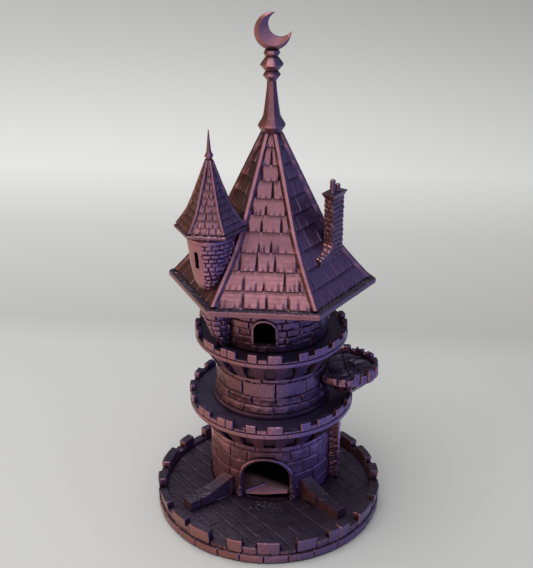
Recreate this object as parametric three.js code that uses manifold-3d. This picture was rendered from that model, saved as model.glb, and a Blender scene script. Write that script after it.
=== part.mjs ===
// Dice tower: a round stone keep in a crenellated dice tray, under a shingled six-sided roof.
// Millimetres, +Z up. The origin is the centre of the tray's underside; the exit arch faces -Y.
// The dice fall in under the lifted roof, tumble over three baffles and roll out through the arch.
import * as THREE from 'three';
import { mergeVertices } from 'three/addons/utils/BufferGeometryUtils.js';
import Module from 'manifold-3d';

const wasm = await Module();
wasm.setup();

// ---- Driving dimensions ----

const GAP = 0.3;               // clearance between neighbouring pieces
const ROUND = 48;              // flats on a full ring
const TOWER_Y = 23.7;          // the tower's axis stands behind the tray's centre

const TRAY = {
  radius: 85, footingTop: 7.2, wallOuter: 84, wallInner: 78.8,
  floor: 9, crenel: 13.9, deepCrenel: 11.3, merlonTop: 18.6, socketDepth: 3,
};
// Merlons of the tray: bearing of the centre from the front, then width, in degrees.
const TRAY_MERLONS = [
  [5.2, 11.1], [24.2, 10.2], [42.5, 13.1], [63.5, 14], [80, 11.5], [100, 7.6], [116, 12.4],
  [133, 12.3], [151, 9], [169, 12], [187, 8], [205, 11], [223, 7.5], [240, 8], [258.5, 15],
  [277.5, 8], [296, 12.2], [313.7, 11.3], [328.7, 12.4], [348.5, 7.7],
];
// Merlons of both galleries, one half turn; the other half repeats it.
const GALLERY_MERLONS = [
  [-48, 12.7], [-28, 13], [-8.8, 7.2], [7.6, 10.5], [28.9, 7.4],
  [44.5, 13], [60.5, 9], [76.4, 8.4], [94.7, 8.2], [109.4, 7.5],
];
// Gaps between merlons wider than this many degrees are cut deeper.
const WIDE_GAP = 7.8;

const LOWER = { outer: 47.5, inner: 43.5, top: 74.7 };
const ARCH = { halfWidth: 17.6, springZ: 27.5, floor: 9, surround: 5.6, proud: 2.2 };
const GALLERY_1 = {
  outer: 62.7, parapet: 3.8, corbelZ: 60, rimZ: 74.2, floor: 79.5, crenel: 81.4, top: 85,
  pocket: { halfWidth: 4.2, z0: 61.6, z1: 73.5 },
};
const MIDDLE = { foot: 45, outer: 42.6, inner: 39.3, neckZ: 92, top: 130 };
const GALLERY_2 = {
  outer: 57.3, parapet: 3.7, corbelZ: 112.3, rimZ: 129.7, floor: 134, crenel: 136.4, top: 139.7,
  pocket: { halfWidth: 4, z0: 114, z1: 128.4 },
};
const POCKETS = 20;            // pockets between the corbels, in a full turn

const UPPER = { foot: 43, outer: 47.5, inner: 39.5, top: 173 };
const WINDOW = { x: -1, halfWidth: 7.8, sillZ: 141, springZ: 152.8, frame: 1.8, proud: 1.4 };

// The ramp falls to the front and a little to the left, from backZ on the wall to a lip at lipY.
const RAMP = { fall: -17.6, slope: 23.7, backZ: 47.9, lipY: -16.5, thick: 2.5 };
const KERB = { from: [-16.4, -15.3], to: [-2, -10.4], width: 1.7, height: 1.7 };
const BAFFLE = { slope: 30, thick: 2.5, reach: 8 };

const PILASTER = { bearing: 80.5, reach: 55.5, width: 9 };
const GUIDE = { start: [25.5, -16.4], end: [55, -42], thick: 9.7, innerTop: 26, outerTop: 16.6 };
const BALCONY = {
  x: 57, y: 22, radius: 24.5, foot: 9, bottom: 85.3, bandZ: 100, floor: 103.8,
  crenel: 106.2, top: 109.3, parapet: 2.8,
};

const ROOF = {
  top: 284.7, topRadius: 5.3, flareZ: 225, flareRadius: 34, eaveRadius: 76.3, eaveZ: 177.4,
  footRadius: 71.6, footZ: 178.4, soffit: 173.3, wall: 4, plate: 3.2, hollowTop: 268,
  plugDepth: 9, plugWall: 3,
};
const HIP = { halfWidth: 1.8, proud: 1.5 };

const TURRET = {
  x: -38.7, y: -12, eaveZ: 228, eaveRadius: 25.7, top: 275, bodyTop: 224.7,
  corbelReach: 43.5, corbelFoot: 6, corbelTop: 12.2,
};
const CHIMNEY = {
  x: 44.7, y: 16.2, length: 14.8, width: 7.9, top: 242, capTop: 245.5, capGrow: 1.4,
  bearing: Math.PI / 3, breastLength: 18, breastTop: 210, breastEnd: 202.4,
};
const FINIAL = { foot: 285, pegRadius: 2.2, pegDepth: 10 };
const MOON = {
  x: 0.2, z: 352.9, radius: 11.5, biteX: 5.2, biteZ: 357.6, biteRadius: 8.3, thick: 5.2, bevel: 2.2,
};

// ---- Making and joining solids ----

const rad = THREE.MathUtils.degToRad;

// A closed geometry as a solid: vertices merged by position, collapsed triangles dropped, faces out.
function solid(geometry) {
  const bare = geometry.clone();
  bare.deleteAttribute('normal');
  bare.deleteAttribute('uv');
  const merged = mergeVertices(bare, 1e-4);
  const position = merged.attributes.position;
  const at = (i) => new THREE.Vector3().fromBufferAttribute(position, i);
  const triangles = [];
  let volume = 0;
  for (let i = 0; i < merged.index.count; i += 3) {
    const [a, b, c] = [0, 1, 2].map((k) => merged.index.getX(i + k));
    if (a === b || b === c || c === a) continue;
    triangles.push([a, b, c]);
    volume += at(a).dot(at(b).cross(at(c)));
  }
  const order = volume > 0 ? [0, 1, 2] : [0, 2, 1];
  const triVerts = Uint32Array.from(triangles.flatMap((t) => order.map((k) => t[k])));
  const vertProperties = Float32Array.from(position.array);
  return new wasm.Manifold(new wasm.Mesh({ numProp: 3, vertProperties, triVerts }));
}

const join = (first, ...rest) => rest.reduce((sum, next) => sum.add(next), first);
const cut = (first, ...rest) => rest.reduce((left, next) => left.subtract(next), first);

// A solid as a flat-shaded geometry.
function geometryOf(body) {
  const mesh = body.getMesh();
  const geometry = new THREE.BufferGeometry();
  const xyz = new Float32Array(mesh.numVert * 3);
  for (let v = 0; v < mesh.numVert; v += 1) {
    for (let k = 0; k < 3; k += 1) xyz[v * 3 + k] = mesh.vertProperties[v * mesh.numProp + k];
  }
  geometry.setAttribute('position', new THREE.BufferAttribute(xyz, 3));
  geometry.setIndex(new THREE.BufferAttribute(Uint32Array.from(mesh.triVerts), 1));
  const flat = geometry.toNonIndexed();
  flat.computeVertexNormals();
  return flat;
}

// A profile of [radius, height] points turned about +Z; bearing 0 is the front, -Y.
function turned(profile, flats = ROUND, bearing = 0, x = 0, y = TOWER_Y) {
  const points = profile.map(([r, z]) => new THREE.Vector2(r, z));
  const geometry = new THREE.LatheGeometry(points, flats, rad(bearing));
  geometry.rotateX(Math.PI / 2);
  geometry.translate(x, y, 0);
  return solid(geometry);
}

const ring = (inner, outer, z0, z1) =>
  turned([[inner, z0], [outer, z0], [outer, z1], [inner, z1], [inner, z0]]);
const drum = (radius, z0, z1, x = 0, y = TOWER_Y) =>
  turned([[0, z0], [radius, z0], [radius, z1], [0, z1]], ROUND, 0, x, y);

// A flat outline in X and Y raised from z0 to z1.
function raised(outline, z0, z1) {
  const shape = new THREE.Shape(outline.map(([x, y]) => new THREE.Vector2(x, y)));
  const geometry = new THREE.ExtrudeGeometry(shape, { depth: z1 - z0, bevelEnabled: false });
  geometry.translate(0, 0, z0);
  return solid(geometry);
}

// An upright outline in X and Z, pushed from y0 to y1.
function pushed(shape, y0, y1, curveSegments = 12) {
  const geometry = new THREE.ExtrudeGeometry(
    shape,
    { depth: y1 - y0, bevelEnabled: false, curveSegments },
  );
  geometry.rotateX(Math.PI / 2);
  geometry.translate(0, y1, 0);
  return solid(geometry);
}

// A point at a bearing from the front (positive to the right) and a distance from a centre.
function polar(bearing, radius, x = 0, y = TOWER_Y) {
  return [x + radius * Math.sin(rad(bearing)), y - radius * Math.cos(rad(bearing))];
}

// A wedge between two bearings, to cut a crenel out of a parapet.
function wedge(from, to, near, far, z0, z1, x, y) {
  const outline = [
    polar(from, near, x, y), polar(from, far, x, y), polar(to, far, x, y), polar(to, near, x, y),
  ];
  return raised(outline, z0, z1);
}

// The crenels that leave the listed merlons standing on a parapet; wide ones go down to deepZ.
function crenels(merlons, near, far, lowZ, deepZ, topZ, x = 0, y = TOWER_Y) {
  return merlons.map(([centre, width], i) => {
    const [next, nextWidth] = merlons[(i + 1) % merlons.length];
    const from = centre + width / 2;
    const to = next - nextWidth / 2 + (next < centre ? 360 : 0);
    const bottom = to - from > WIDE_GAP ? deepZ : lowZ;
    return wedge(from, to, near, far, bottom, topZ, x, y);
  });
}

// An arched opening's outline: straight jambs to the spring line, then a half circle.
function archShape(x, halfWidth, floorZ, springZ) {
  const shape = new THREE.Shape();
  shape.moveTo(x - halfWidth, floorZ);
  shape.lineTo(x + halfWidth, floorZ);
  shape.lineTo(x + halfWidth, springZ);
  shape.absarc(x, springZ, halfWidth, 0, Math.PI, false);
  shape.closePath();
  return shape;
}

// ---- Tray ----

function trayBase() {
  const t = TRAY;
  const profile = [
    [0, 0], [t.radius, 0], [t.radius, t.footingTop], [t.wallOuter, t.footingTop],
    [t.wallOuter, t.merlonTop], [t.wallInner, t.merlonTop], [t.wallInner, t.floor], [0, t.floor],
  ];
  const body = turned(profile, ROUND, 0, 0, 0);
  const notches = crenels(TRAY_MERLONS, 60, 100, t.crenel, t.deepCrenel, t.merlonTop + 1, 0, 0);
  const socket = drum(LOWER.outer + GAP, t.floor - t.socketDepth, t.floor + 1);
  return cut(body, ...notches, socket);
}

// A low wall that leads the dice from the arch's side out into the tray; its top dips outwards.
function guideWall(side) {
  const g = GUIDE;
  const run = new THREE.Vector2(g.end[0] - g.start[0], g.end[1] - g.start[1]);
  const length = run.length();
  const shape = new THREE.Shape();
  shape.moveTo(0, TRAY.floor + GAP);
  shape.lineTo(length, TRAY.floor + GAP);
  shape.lineTo(length, g.outerTop);
  shape.quadraticCurveTo(length * 0.3, g.outerTop, 0, g.innerTop);
  shape.closePath();
  const geometry = new THREE.ExtrudeGeometry(
    shape,
    { depth: g.thick, bevelEnabled: false, curveSegments: 8 },
  );
  geometry.rotateX(Math.PI / 2);
  geometry.translate(0, g.thick, 0);
  geometry.rotateZ(Math.atan2(run.y, run.x));
  geometry.translate(g.start[0], g.start[1], 0);
  if (side < 0) geometry.scale(-1, 1, 1);
  return cut(solid(geometry), drum(LOWER.outer + GAP, 0, g.innerTop + 5));
}

// ---- Tower ----

function towerLower() {
  const wall = ring(LOWER.inner, LOWER.outer, TRAY.floor - TRAY.socketDepth + GAP, LOWER.top);
  const opening = pushed(
    archShape(0, ARCH.halfWidth, ARCH.floor, ARCH.springZ),
    TOWER_Y - 60,
    TOWER_Y - 25,
  );
  return cut(wall, opening);
}

function archSurround() {
  const band = ring(LOWER.outer + GAP, LOWER.outer + ARCH.proud, ARCH.floor + GAP, 60);
  const reach = ARCH.halfWidth + ARCH.surround;
  const outer = pushed(archShape(0, reach, 0, ARCH.springZ), TOWER_Y - 60, TOWER_Y - 25);
  const inner = pushed(archShape(0, ARCH.halfWidth, -1, ARCH.springZ), TOWER_Y - 61, TOWER_Y - 24);
  return cut(band.intersect(outer), inner);
}

function pilaster() {
  const half = PILASTER.width / 2;
  const along = rad(PILASTER.bearing) - Math.PI / 2;
  const corners = [
    [LOWER.outer - 3, -half], [PILASTER.reach, -half * 0.8],
    [PILASTER.reach, half * 0.8], [LOWER.outer - 3, half],
  ];
  const outline = corners.map(([r, s]) => [
    r * Math.cos(along) - s * Math.sin(along),
    TOWER_Y + r * Math.sin(along) + s * Math.cos(along),
  ]);
  const shaft = raised(outline, TRAY.floor + GAP, GALLERY_1.rimZ);
  return cut(shaft, drum(LOWER.outer + GAP, 0, 90), galleryHull(GALLERY_1, LOWER.outer));
}

// The corbelled outside of a gallery as a full drum, grown by the clearance.
function galleryHull(g, wall) {
  return turned([
    [0, g.corbelZ - GAP], [wall + 1 + 2 * GAP, g.corbelZ - GAP], [g.outer - 2, g.rimZ - 1 - GAP],
    [g.outer + GAP, g.rimZ - GAP], [g.outer + GAP, g.top], [0, g.top],
  ]);
}

// A gallery: corbels under a walk, a rim and a crenellated parapet.
function gallery(g, wallBelow, floorInner, seatZ) {
  const body = turned([
    [wallBelow + GAP, g.corbelZ], [wallBelow + GAP + 0.8, g.corbelZ],
    [g.outer - 2, g.rimZ - 0.6], [g.outer, g.rimZ],
    [g.outer, g.top], [g.outer - g.parapet, g.top], [g.outer - g.parapet, g.floor],
    [floorInner, g.floor], [floorInner, seatZ + GAP], [wallBelow + GAP, seatZ + GAP],
    [wallBelow + GAP, g.corbelZ],
  ]);
  const both = [0, 180].flatMap((turn) => GALLERY_MERLONS.map(([c, w]) => [c + turn, w]));
  const notches = crenels(both, g.outer - 12, g.outer + 8, g.crenel, g.floor + GAP, g.top + 1);
  return cut(body, ...notches, ...corbelPockets(g, wallBelow + GAP + 1));
}

// Pockets between the corbels under a gallery, evenly spaced round it.
function corbelPockets(g, near) {
  const pitch = 360 / POCKETS;
  const half = THREE.MathUtils.radToDeg(g.pocket.halfWidth / g.outer);
  return Array.from({ length: POCKETS }, (_, k) => {
    const middle = pitch * (k + 0.2);
    return wedge(middle - half, middle + half, near, g.outer + 8, g.pocket.z0, g.pocket.z1);
  });
}

function towerMiddle() {
  const m = MIDDLE;
  return turned([
    [m.inner, GALLERY_1.floor + GAP], [m.foot, GALLERY_1.floor + GAP], [m.foot - 0.8, 84],
    [m.outer, m.neckZ], [m.outer, m.top], [m.inner, m.top], [m.inner, GALLERY_1.floor + GAP],
  ]);
}

// The top storey's outside as a full drum, grown by a clearance; it widens towards the eave.
function upperHull(grow = 0) {
  const u = UPPER;
  const footZ = GALLERY_2.floor + GAP;
  return turned([
    [0, footZ], [u.foot + grow, footZ], [u.foot + 0.8 + grow, 150],
    [u.outer - 1 + grow, 166], [u.outer + grow, u.top], [0, u.top],
  ]);
}

function towerUpper() {
  const w = WINDOW;
  const opening = archShape(w.x, w.halfWidth, w.sillZ, w.springZ);
  return cut(
    upperHull(),
    drum(UPPER.inner, 100, 200),
    pushed(opening, TOWER_Y - 60, TOWER_Y - 20),
  );
}

function windowFrame() {
  const w = WINDOW;
  const outer = archShape(w.x, w.halfWidth + w.frame, w.sillZ - w.frame, w.springZ);
  const inner = archShape(w.x, w.halfWidth, w.sillZ, w.springZ);
  return cut(
    upperHull(GAP + w.proud).intersect(pushed(outer, TOWER_Y - 60, TOWER_Y - 20)),
    upperHull(GAP),
    pushed(inner, TOWER_Y - 61, TOWER_Y - 19),
  );
}

// The tapering foot of the corner turret, slanting in from the eave to the upper gallery.
function turretCorbel() {
  const topZ = UPPER.top;
  const footZ = GALLERY_2.floor + GAP;
  const axis = new THREE.Vector2(TURRET.x, TURRET.y - TOWER_Y);
  const footCentre = axis.clone().setLength(TURRET.corbelReach);
  const flats = 24;
  const lower = [];
  const upper = [];
  const foot = TURRET.corbelFoot;
  const top = TURRET.corbelTop;
  for (let i = 0; i < flats; i += 1) {
    const angle = (i / flats) * 2 * Math.PI;
    const [c, s] = [Math.cos(angle), Math.sin(angle)];
    lower.push([footCentre.x + foot * c, TOWER_Y + footCentre.y + foot * s, footZ]);
    upper.push([axis.x + top * c, TOWER_Y + axis.y + top * s, topZ]);
  }
  return cut(loft([lower, upper]), upperHull(GAP));
}

// Rings of points with the same count, skinned from the first to the last and closed by fans.
function loft(rings) {
  const count = rings[0].length;
  const middle = (points) => [0, 1, 2].map(
    (k) => points.reduce((sum, p) => sum + p[k], 0) / count,
  );
  const points = [...rings.flat(), middle(rings[0]), middle(rings.at(-1))];
  const faces = [];
  for (let level = 0; level + 1 < rings.length; level += 1) {
    for (let i = 0; i < count; i += 1) {
      const a = level * count + i;
      const b = level * count + ((i + 1) % count);
      faces.push(a, b, b + count, a, b + count, a + count);
    }
  }
  const last = (rings.length - 1) * count;
  for (let i = 0; i < count; i += 1) {
    const j = (i + 1) % count;
    faces.push(rings.length * count, j, i);
    faces.push(rings.length * count + 1, last + i, last + j);
  }
  const geometry = new THREE.BufferGeometry();
  geometry.setAttribute('position', new THREE.Float32BufferAttribute(points.flat(), 3));
  geometry.setIndex(faces);
  return solid(geometry);
}

// A sloping plate inside the shaft. It starts on the wall at fromZ and falls towards a bearing,
// as far as reach past the axis.
function slopingPlate(radius, fall, fromZ, reach, thick, slope) {
  const back = -radius - 5;
  const height = (along) => fromZ - (along + radius) * Math.tan(rad(slope));
  const shape = new THREE.Shape();
  shape.moveTo(back, height(back));
  shape.lineTo(reach, height(reach));
  shape.lineTo(reach, height(reach) - thick);
  shape.lineTo(back, height(back) - thick);
  shape.closePath();
  const geometry = new THREE.ExtrudeGeometry(shape, { depth: radius * 2, bevelEnabled: false });
  geometry.translate(0, 0, -radius);
  geometry.rotateX(Math.PI / 2);
  geometry.rotateZ(rad(fall - 90));
  geometry.translate(0, TOWER_Y, 0);
  return solid(geometry).intersect(drum(radius, 0, 200));
}

function baffle(radius, fall, fromZ) {
  return slopingPlate(radius, fall, fromZ, BAFFLE.reach, BAFFLE.thick, BAFFLE.slope);
}

function exitRamp() {
  const r = RAMP;
  const radius = LOWER.inner - GAP;
  const plate = slopingPlate(radius, r.fall, r.backZ, radius, r.thick, r.slope);
  const beyondLip = raised([[-60, -60], [60, -60], [60, r.lipY], [-60, r.lipY]], 0, 60);
  const underFloor = drum(60, -5, TRAY.floor + GAP);
  return cut(join(plate, rampKerb(radius)), beyondLip, underFloor);
}

// A low kerb that crosses the left side of the ramp.
function rampKerb(radius) {
  const [fallX, fallY] = polar(RAMP.fall, 1, 0, 0);
  const steepness = Math.tan(rad(RAMP.slope));
  const axisZ = RAMP.backZ - radius * steepness;
  const run = new THREE.Vector2(KERB.to[0] - KERB.from[0], KERB.to[1] - KERB.from[1]);
  const across = new THREE.Vector2(-run.y, run.x).setLength(KERB.width / 2);
  const section = ([x, y]) => {
    const z = axisZ - steepness * (x * fallX + (y - TOWER_Y) * fallY);
    return [[1, -1], [-1, -1], [-1, KERB.height], [1, KERB.height]].map(
      ([side, up]) => [x + side * across.x, y + side * across.y, z + up],
    );
  };
  return loft([section(KERB.from), section(KERB.to)]).intersect(drum(radius, 0, 60));
}

function balcony() {
  const b = BALCONY;
  const bowl = turned([
    [0, b.bottom], [b.foot, b.bottom], [b.radius - 1.5, b.bandZ - 1], [b.radius, b.bandZ],
    [b.radius, b.top], [b.radius - b.parapet, b.top], [b.radius - b.parapet, b.floor], [0, b.floor],
  ], 48, 0, b.x, b.y);
  const pitch = 26;
  const notches = [];
  for (let bearing = 10; bearing < 190; bearing += pitch) {
    notches.push(wedge(bearing, bearing + pitch * 0.4, 15, 30, b.crenel, b.top + 1, b.x, b.y));
  }
  const openFront = raised(
    [polar(-170, 40, b.x, b.y), polar(-120, 60, b.x, b.y), polar(-60, 60, b.x, b.y),
      polar(10, 60, b.x, b.y), [b.x, b.y]],
    b.crenel,
    b.top + 1,
  );
  const m = MIDDLE;
  const wall = turned([
    [0, 80], [m.foot + GAP, 80], [m.foot - 0.8 + GAP, 84 + GAP],
    [m.outer + GAP, m.neckZ + GAP], [m.outer + GAP, b.top + 5], [0, b.top + 5],
  ]);
  return cut(bowl, ...notches, openFront, wall);
}

// ---- Roof ----

// Levels of the roof's slope as [corner radius, height], from the eave up.
function slopeLevels(flareSteps) {
  const flare = new THREE.CubicBezierCurve(
    new THREE.Vector2(ROOF.flareRadius, ROOF.flareZ),
    new THREE.Vector2(42, 208),
    new THREE.Vector2(60, 189.5),
    new THREE.Vector2(ROOF.footRadius, ROOF.footZ),
  );
  const levels = flare.getPoints(flareSteps).map((p) => [p.x, p.y]).reverse();
  return [...levels, [ROOF.topRadius, ROOF.top]];
}

// A hexagon with flats to the front and back; a raised hip runs along each corner.
function hexagonRing(radius, z, hip, x = 0, y = TOWER_Y) {
  const points = [];
  for (let corner = 0; corner < 6; corner += 1) {
    const bearing = 30 + corner * 60;
    const out = polar(bearing, radius, 0, 0);
    for (const side of [-1, 0, 1]) {
      const along = polar(bearing + side * 120, Math.abs(side) * hip.halfWidth, 0, 0);
      const lift = side === 0 ? hip.proud : 0;
      const grow = 1 + lift / radius;
      points.push([x + out[0] * grow + along[0], y + out[1] * grow + along[1], z]);
    }
  }
  return points;
}

// The roof's outside as one solid block, with the eave board under it.
function roofHull(grow = 0) {
  const bare = (r, z) => hexagonRing(r + grow * 1.2, z, HIP);
  const levels = slopeLevels(7).map(([r, z]) => bare(r, z + grow));
  return loft([
    bare(ROOF.eaveRadius, ROOF.soffit), bare(ROOF.eaveRadius, ROOF.eaveZ), ...levels,
  ]);
}

function roofShell() {
  const flat = { halfWidth: 1, proud: 0 };
  const hollow = slopeLevels(5)
    .filter(([r]) => r > ROOF.wall * 3)
    .map(([r, z]) => hexagonRing(r - ROOF.wall * 1.6, z, flat));
  const lowest = hexagonRing(ROOF.eaveRadius - 12, ROOF.soffit + ROOF.plate, flat);
  const capRing = hexagonRing(ROOF.wall, ROOF.hollowTop, flat);
  const cavity = loft([lowest, ...hollow, capRing]);
  const plugOuter = UPPER.inner - 0.4;
  const plug = ring(
    plugOuter - ROOF.plugWall,
    plugOuter,
    ROOF.soffit - ROOF.plugDepth,
    ROOF.soffit + ROOF.plate,
  );
  const mouth = drum(
    plugOuter - ROOF.plugWall,
    ROOF.soffit - ROOF.plugDepth - 1,
    ROOF.soffit + ROOF.plate + 1,
  );
  const socket = drum(FINIAL.pegRadius + GAP, ROOF.top - FINIAL.pegDepth - 1, ROOF.top + 1);
  return cut(join(cut(roofHull(), cavity), plug), mouth, socket);
}

function turretBody() {
  const profile = [
    [0, 180.5], [6.8, 180.5], [10.3, 184], [12.3, 188.5], [14.7, 199], [15.7, 209], [16.8, 217],
    [17.2, TURRET.bodyTop], [0, TURRET.bodyTop],
  ];
  return cut(turned(profile, 36, 0, TURRET.x, TURRET.y), roofHull(GAP));
}

function turretRoof() {
  const t = TURRET;
  const levels = [
    [t.eaveRadius, t.bodyTop + GAP], [t.eaveRadius, t.eaveZ], [24.5, 229.5],
    [18.7, 235.5], [15.2, 241], [12.3, 247.6], [7.2, 260.5], [1.9, t.top],
  ];
  const hip = { halfWidth: 0.5, proud: 0.4 };
  const spire = loft(levels.map(([r, z]) => hexagonRing(r, z, hip, t.x, t.y)));
  return cut(spire, roofHull(GAP));
}

// A slim octagonal spike with one bead.
function turretSpire() {
  const z = TURRET.top + GAP;
  return turned(
    [[0, z], [2, z], [3.1, z + 2.6], [1.9, z + 5], [0.7, z + 20.2], [0, z + 20.2]],
    8,
    22.5,
    TURRET.x,
    TURRET.y,
  );
}

// A rectangle aligned with the roof's right-hand front slope, as an outline in X and Y.
function chimneyOutline(from, to, halfWidth) {
  const c = CHIMNEY;
  const [cos, sin] = [Math.cos(c.bearing), Math.sin(c.bearing)];
  return [[from, -halfWidth], [to, -halfWidth], [to, halfWidth], [from, halfWidth]].map(
    ([u, v]) => [c.x + u * cos - v * sin, c.y + u * sin + v * cos],
  );
}

function chimneyStack() {
  const c = CHIMNEY;
  const half = c.length / 2;
  const shaft = raised(chimneyOutline(-half, half, c.width / 2), 180, c.top);
  const level = (outline, z) => outline.map(([x, y]) => [x, y, z]);
  const slim = chimneyOutline(-half, half, c.width / 2);
  const wide = chimneyOutline(-half - c.capGrow, half + c.capGrow, c.width / 2 + c.capGrow);
  const cap = loft([level(slim, c.top - 0.5), level(wide, c.capTop - 1.2), level(wide, c.capTop)]);
  return cut(join(shaft, cap, chimneyBreast()), roofHull(GAP));
}

// The block that runs from the stack's foot along the roof, its top sweeping up to the stack.
function chimneyBreast() {
  const c = CHIMNEY;
  const start = -c.length / 2 + 2;
  const section = (u, z) => {
    const [outside, , inside] = chimneyOutline(u, u, c.width / 2);
    return [[...outside, 180], [...inside, 180], [...inside, z], [...outside, z]];
  };
  return loft([
    section(start, c.breastTop),
    section(start - c.breastLength / 3, c.breastEnd + 2.5),
    section(start - c.breastLength, c.breastEnd),
  ]);
}

function chimneyPot(along, across, radius, height) {
  const c = CHIMNEY;
  const x = c.x + along * Math.cos(c.bearing) - across * Math.sin(c.bearing);
  const y = c.y + along * Math.sin(c.bearing) + across * Math.cos(c.bearing);
  const z = c.capTop + GAP;
  return turned(
    [[0, z], [radius, z], [radius, z + height - 0.6], [radius - 0.5, z + height], [0, z + height]],
    16,
    0,
    x,
    y,
  );
}

// ---- Finial ----

// Octagonal spindle: half widths across the flats, from the collar up.
function finialSpindle() {
  const acrossCorners = 1 / Math.cos(Math.PI / 8);
  const f = FINIAL;
  const halfWidths = [
    [6.2, f.foot], [9.3, 289.9], [6.9, 294.1], [5.8, 296.6], [4.7, 304.2], [3.4, 315.2],
    [3, 320.7], [5.8, 324.4], [4.1, 327.1], [7.7, 331.5], [4, 336.8], [5.4, 339.1], [4.6, 341.1],
  ];
  const profile = halfWidths.map(([a, z]) => [a * acrossCorners, z]);
  const shaft = turned([[0, f.foot], ...profile, [0, 341.1]], 8, 22.5);
  return join(shaft, drum(f.pegRadius, f.foot - f.pegDepth, f.foot + 2));
}

// A wheel about the crescent's own axis, which points to the front: [radius, depth] points.
function wheel(profile, x, z) {
  const points = profile.map(([r, depth]) => new THREE.Vector2(r, depth));
  const geometry = new THREE.LatheGeometry(points, 48);
  geometry.translate(x, TOWER_Y, z);
  return solid(geometry);
}

// A crescent standing on the spindle, its horns up and to the right, bevelled on both edges.
function crescentMoon() {
  const m = MOON;
  const half = m.thick / 2;
  const disc = wheel([
    [0, -half], [m.radius - m.bevel, -half], [m.radius, -half / 2],
    [m.radius, half / 2], [m.radius - m.bevel, half], [0, half],
  ], m.x, m.z);
  const flared = m.biteRadius + m.bevel;
  const bite = wheel(
    [[0, -half - 1], [flared, -half - 1], [m.biteRadius, 0], [flared, half + 1], [0, half + 1]],
    m.biteX,
    m.biteZ,
  );
  return cut(disc, bite);
}

// ---- Assembly ----

const print = (color) => new THREE.MeshStandardMaterial({ color, roughness: 0.36, metalness: 0.55 });
const rose = print('#8d5f66');
const violet = print('#4b4672');
const copper = print('#77493f');
const slate = print('#43454c');

function piece(name, body, material) {
  const mesh = new THREE.Mesh(geometryOf(body), material);
  mesh.name = name;
  return mesh;
}

const tray = new THREE.Group();
tray.add(
  piece('tray_base', trayBase(), slate),
  piece('guide_wall_left', guideWall(-1), copper),
  piece('guide_wall_right', guideWall(1), violet),
);

const tower = new THREE.Group();
tower.add(
  piece('tower_lower', towerLower(), rose),
  piece('arch_surround', archSurround(), rose),
  piece('exit_ramp', exitRamp(), rose),
  piece('pilaster', pilaster(), violet),
  piece('gallery_lower', gallery(GALLERY_1, LOWER.outer, LOWER.inner, LOWER.top), copper),
  piece('tower_middle', towerMiddle(), rose),
  piece('baffle_lower', baffle(MIDDLE.inner - GAP, 180, 86), slate),
  piece('baffle_middle', baffle(MIDDLE.inner - GAP, 0, 125), slate),
  piece('balcony', balcony(), violet),
  piece('gallery_upper', gallery(GALLERY_2, MIDDLE.outer, MIDDLE.inner, MIDDLE.top), copper),
  piece('tower_upper', towerUpper(), rose),
  piece('window_frame', windowFrame(), violet),
  piece('baffle_upper', baffle(UPPER.inner - GAP, 180, 164), slate),
  piece('turret_corbel', turretCorbel(), copper),
);

const roof = new THREE.Group();
roof.add(
  piece('roof_shell', roofShell(), rose),
  piece('turret_body', turretBody(), copper),
  piece('turret_roof', turretRoof(), rose),
  piece('turret_spire', turretSpire(), copper),
  piece('chimney_stack', chimneyStack(), violet),
  piece('chimney_pot_tall', chimneyPot(-4.7, -1.2, 1.85, 10), violet),
  piece('chimney_pot_short', chimneyPot(2, -1.3, 1.7, 5.4), violet),
);

const finial = new THREE.Group();
finial.add(
  piece('finial_spindle', finialSpindle(), rose),
  piece('crescent_moon', crescentMoon(), copper),
);

const diceTower = new THREE.Group();
diceTower.add(tray, tower, roof, finial);

export default diceTower;
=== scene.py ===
"""The looks of the dice tower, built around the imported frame. Shapes are worked out in millimetres."""

import math

import bpy
import numpy as np
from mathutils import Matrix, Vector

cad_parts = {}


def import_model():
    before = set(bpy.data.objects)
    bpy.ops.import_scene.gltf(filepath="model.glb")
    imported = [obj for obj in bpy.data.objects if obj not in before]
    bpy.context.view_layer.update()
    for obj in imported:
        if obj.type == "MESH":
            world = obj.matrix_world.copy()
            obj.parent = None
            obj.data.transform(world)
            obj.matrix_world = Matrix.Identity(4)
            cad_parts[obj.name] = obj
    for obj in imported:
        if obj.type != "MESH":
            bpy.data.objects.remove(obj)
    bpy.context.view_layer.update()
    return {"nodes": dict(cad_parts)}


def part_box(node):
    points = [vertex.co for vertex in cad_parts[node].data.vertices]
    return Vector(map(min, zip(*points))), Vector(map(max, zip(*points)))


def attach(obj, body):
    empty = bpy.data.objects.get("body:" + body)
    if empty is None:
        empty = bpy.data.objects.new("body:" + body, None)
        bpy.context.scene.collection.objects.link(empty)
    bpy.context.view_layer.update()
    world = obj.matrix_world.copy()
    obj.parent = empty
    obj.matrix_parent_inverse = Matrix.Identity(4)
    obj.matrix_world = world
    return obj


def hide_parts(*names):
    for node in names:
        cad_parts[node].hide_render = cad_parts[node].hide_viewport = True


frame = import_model()

MM = 0.001


def low_high(node):
    """Lowest and highest corner of a CAD node, in millimetres."""
    low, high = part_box(node)
    return np.array(low) / MM, np.array(high) / MM


# ---- Driving dimensions, in millimetres and degrees. Bearing 0 is the front, -Y; 90 is +X. ----

TRAY_LOW, TRAY_HIGH = low_high("tray_base")
LOWER_LOW, LOWER_HIGH = low_high("tower_lower")
MIDDLE_LOW, MIDDLE_HIGH = low_high("tower_middle")
UPPER_LOW, UPPER_HIGH = low_high("tower_upper")
WALK_1_LOW, WALK_1_HIGH = low_high("gallery_lower")
WALK_2_LOW, WALK_2_HIGH = low_high("gallery_upper")
BALCONY_LOW, BALCONY_HIGH = low_high("balcony")
ROOF_LOW, ROOF_HIGH = low_high("roof_shell")
SPINDLE_LOW, SPINDLE_HIGH = low_high("finial_spindle")

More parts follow.
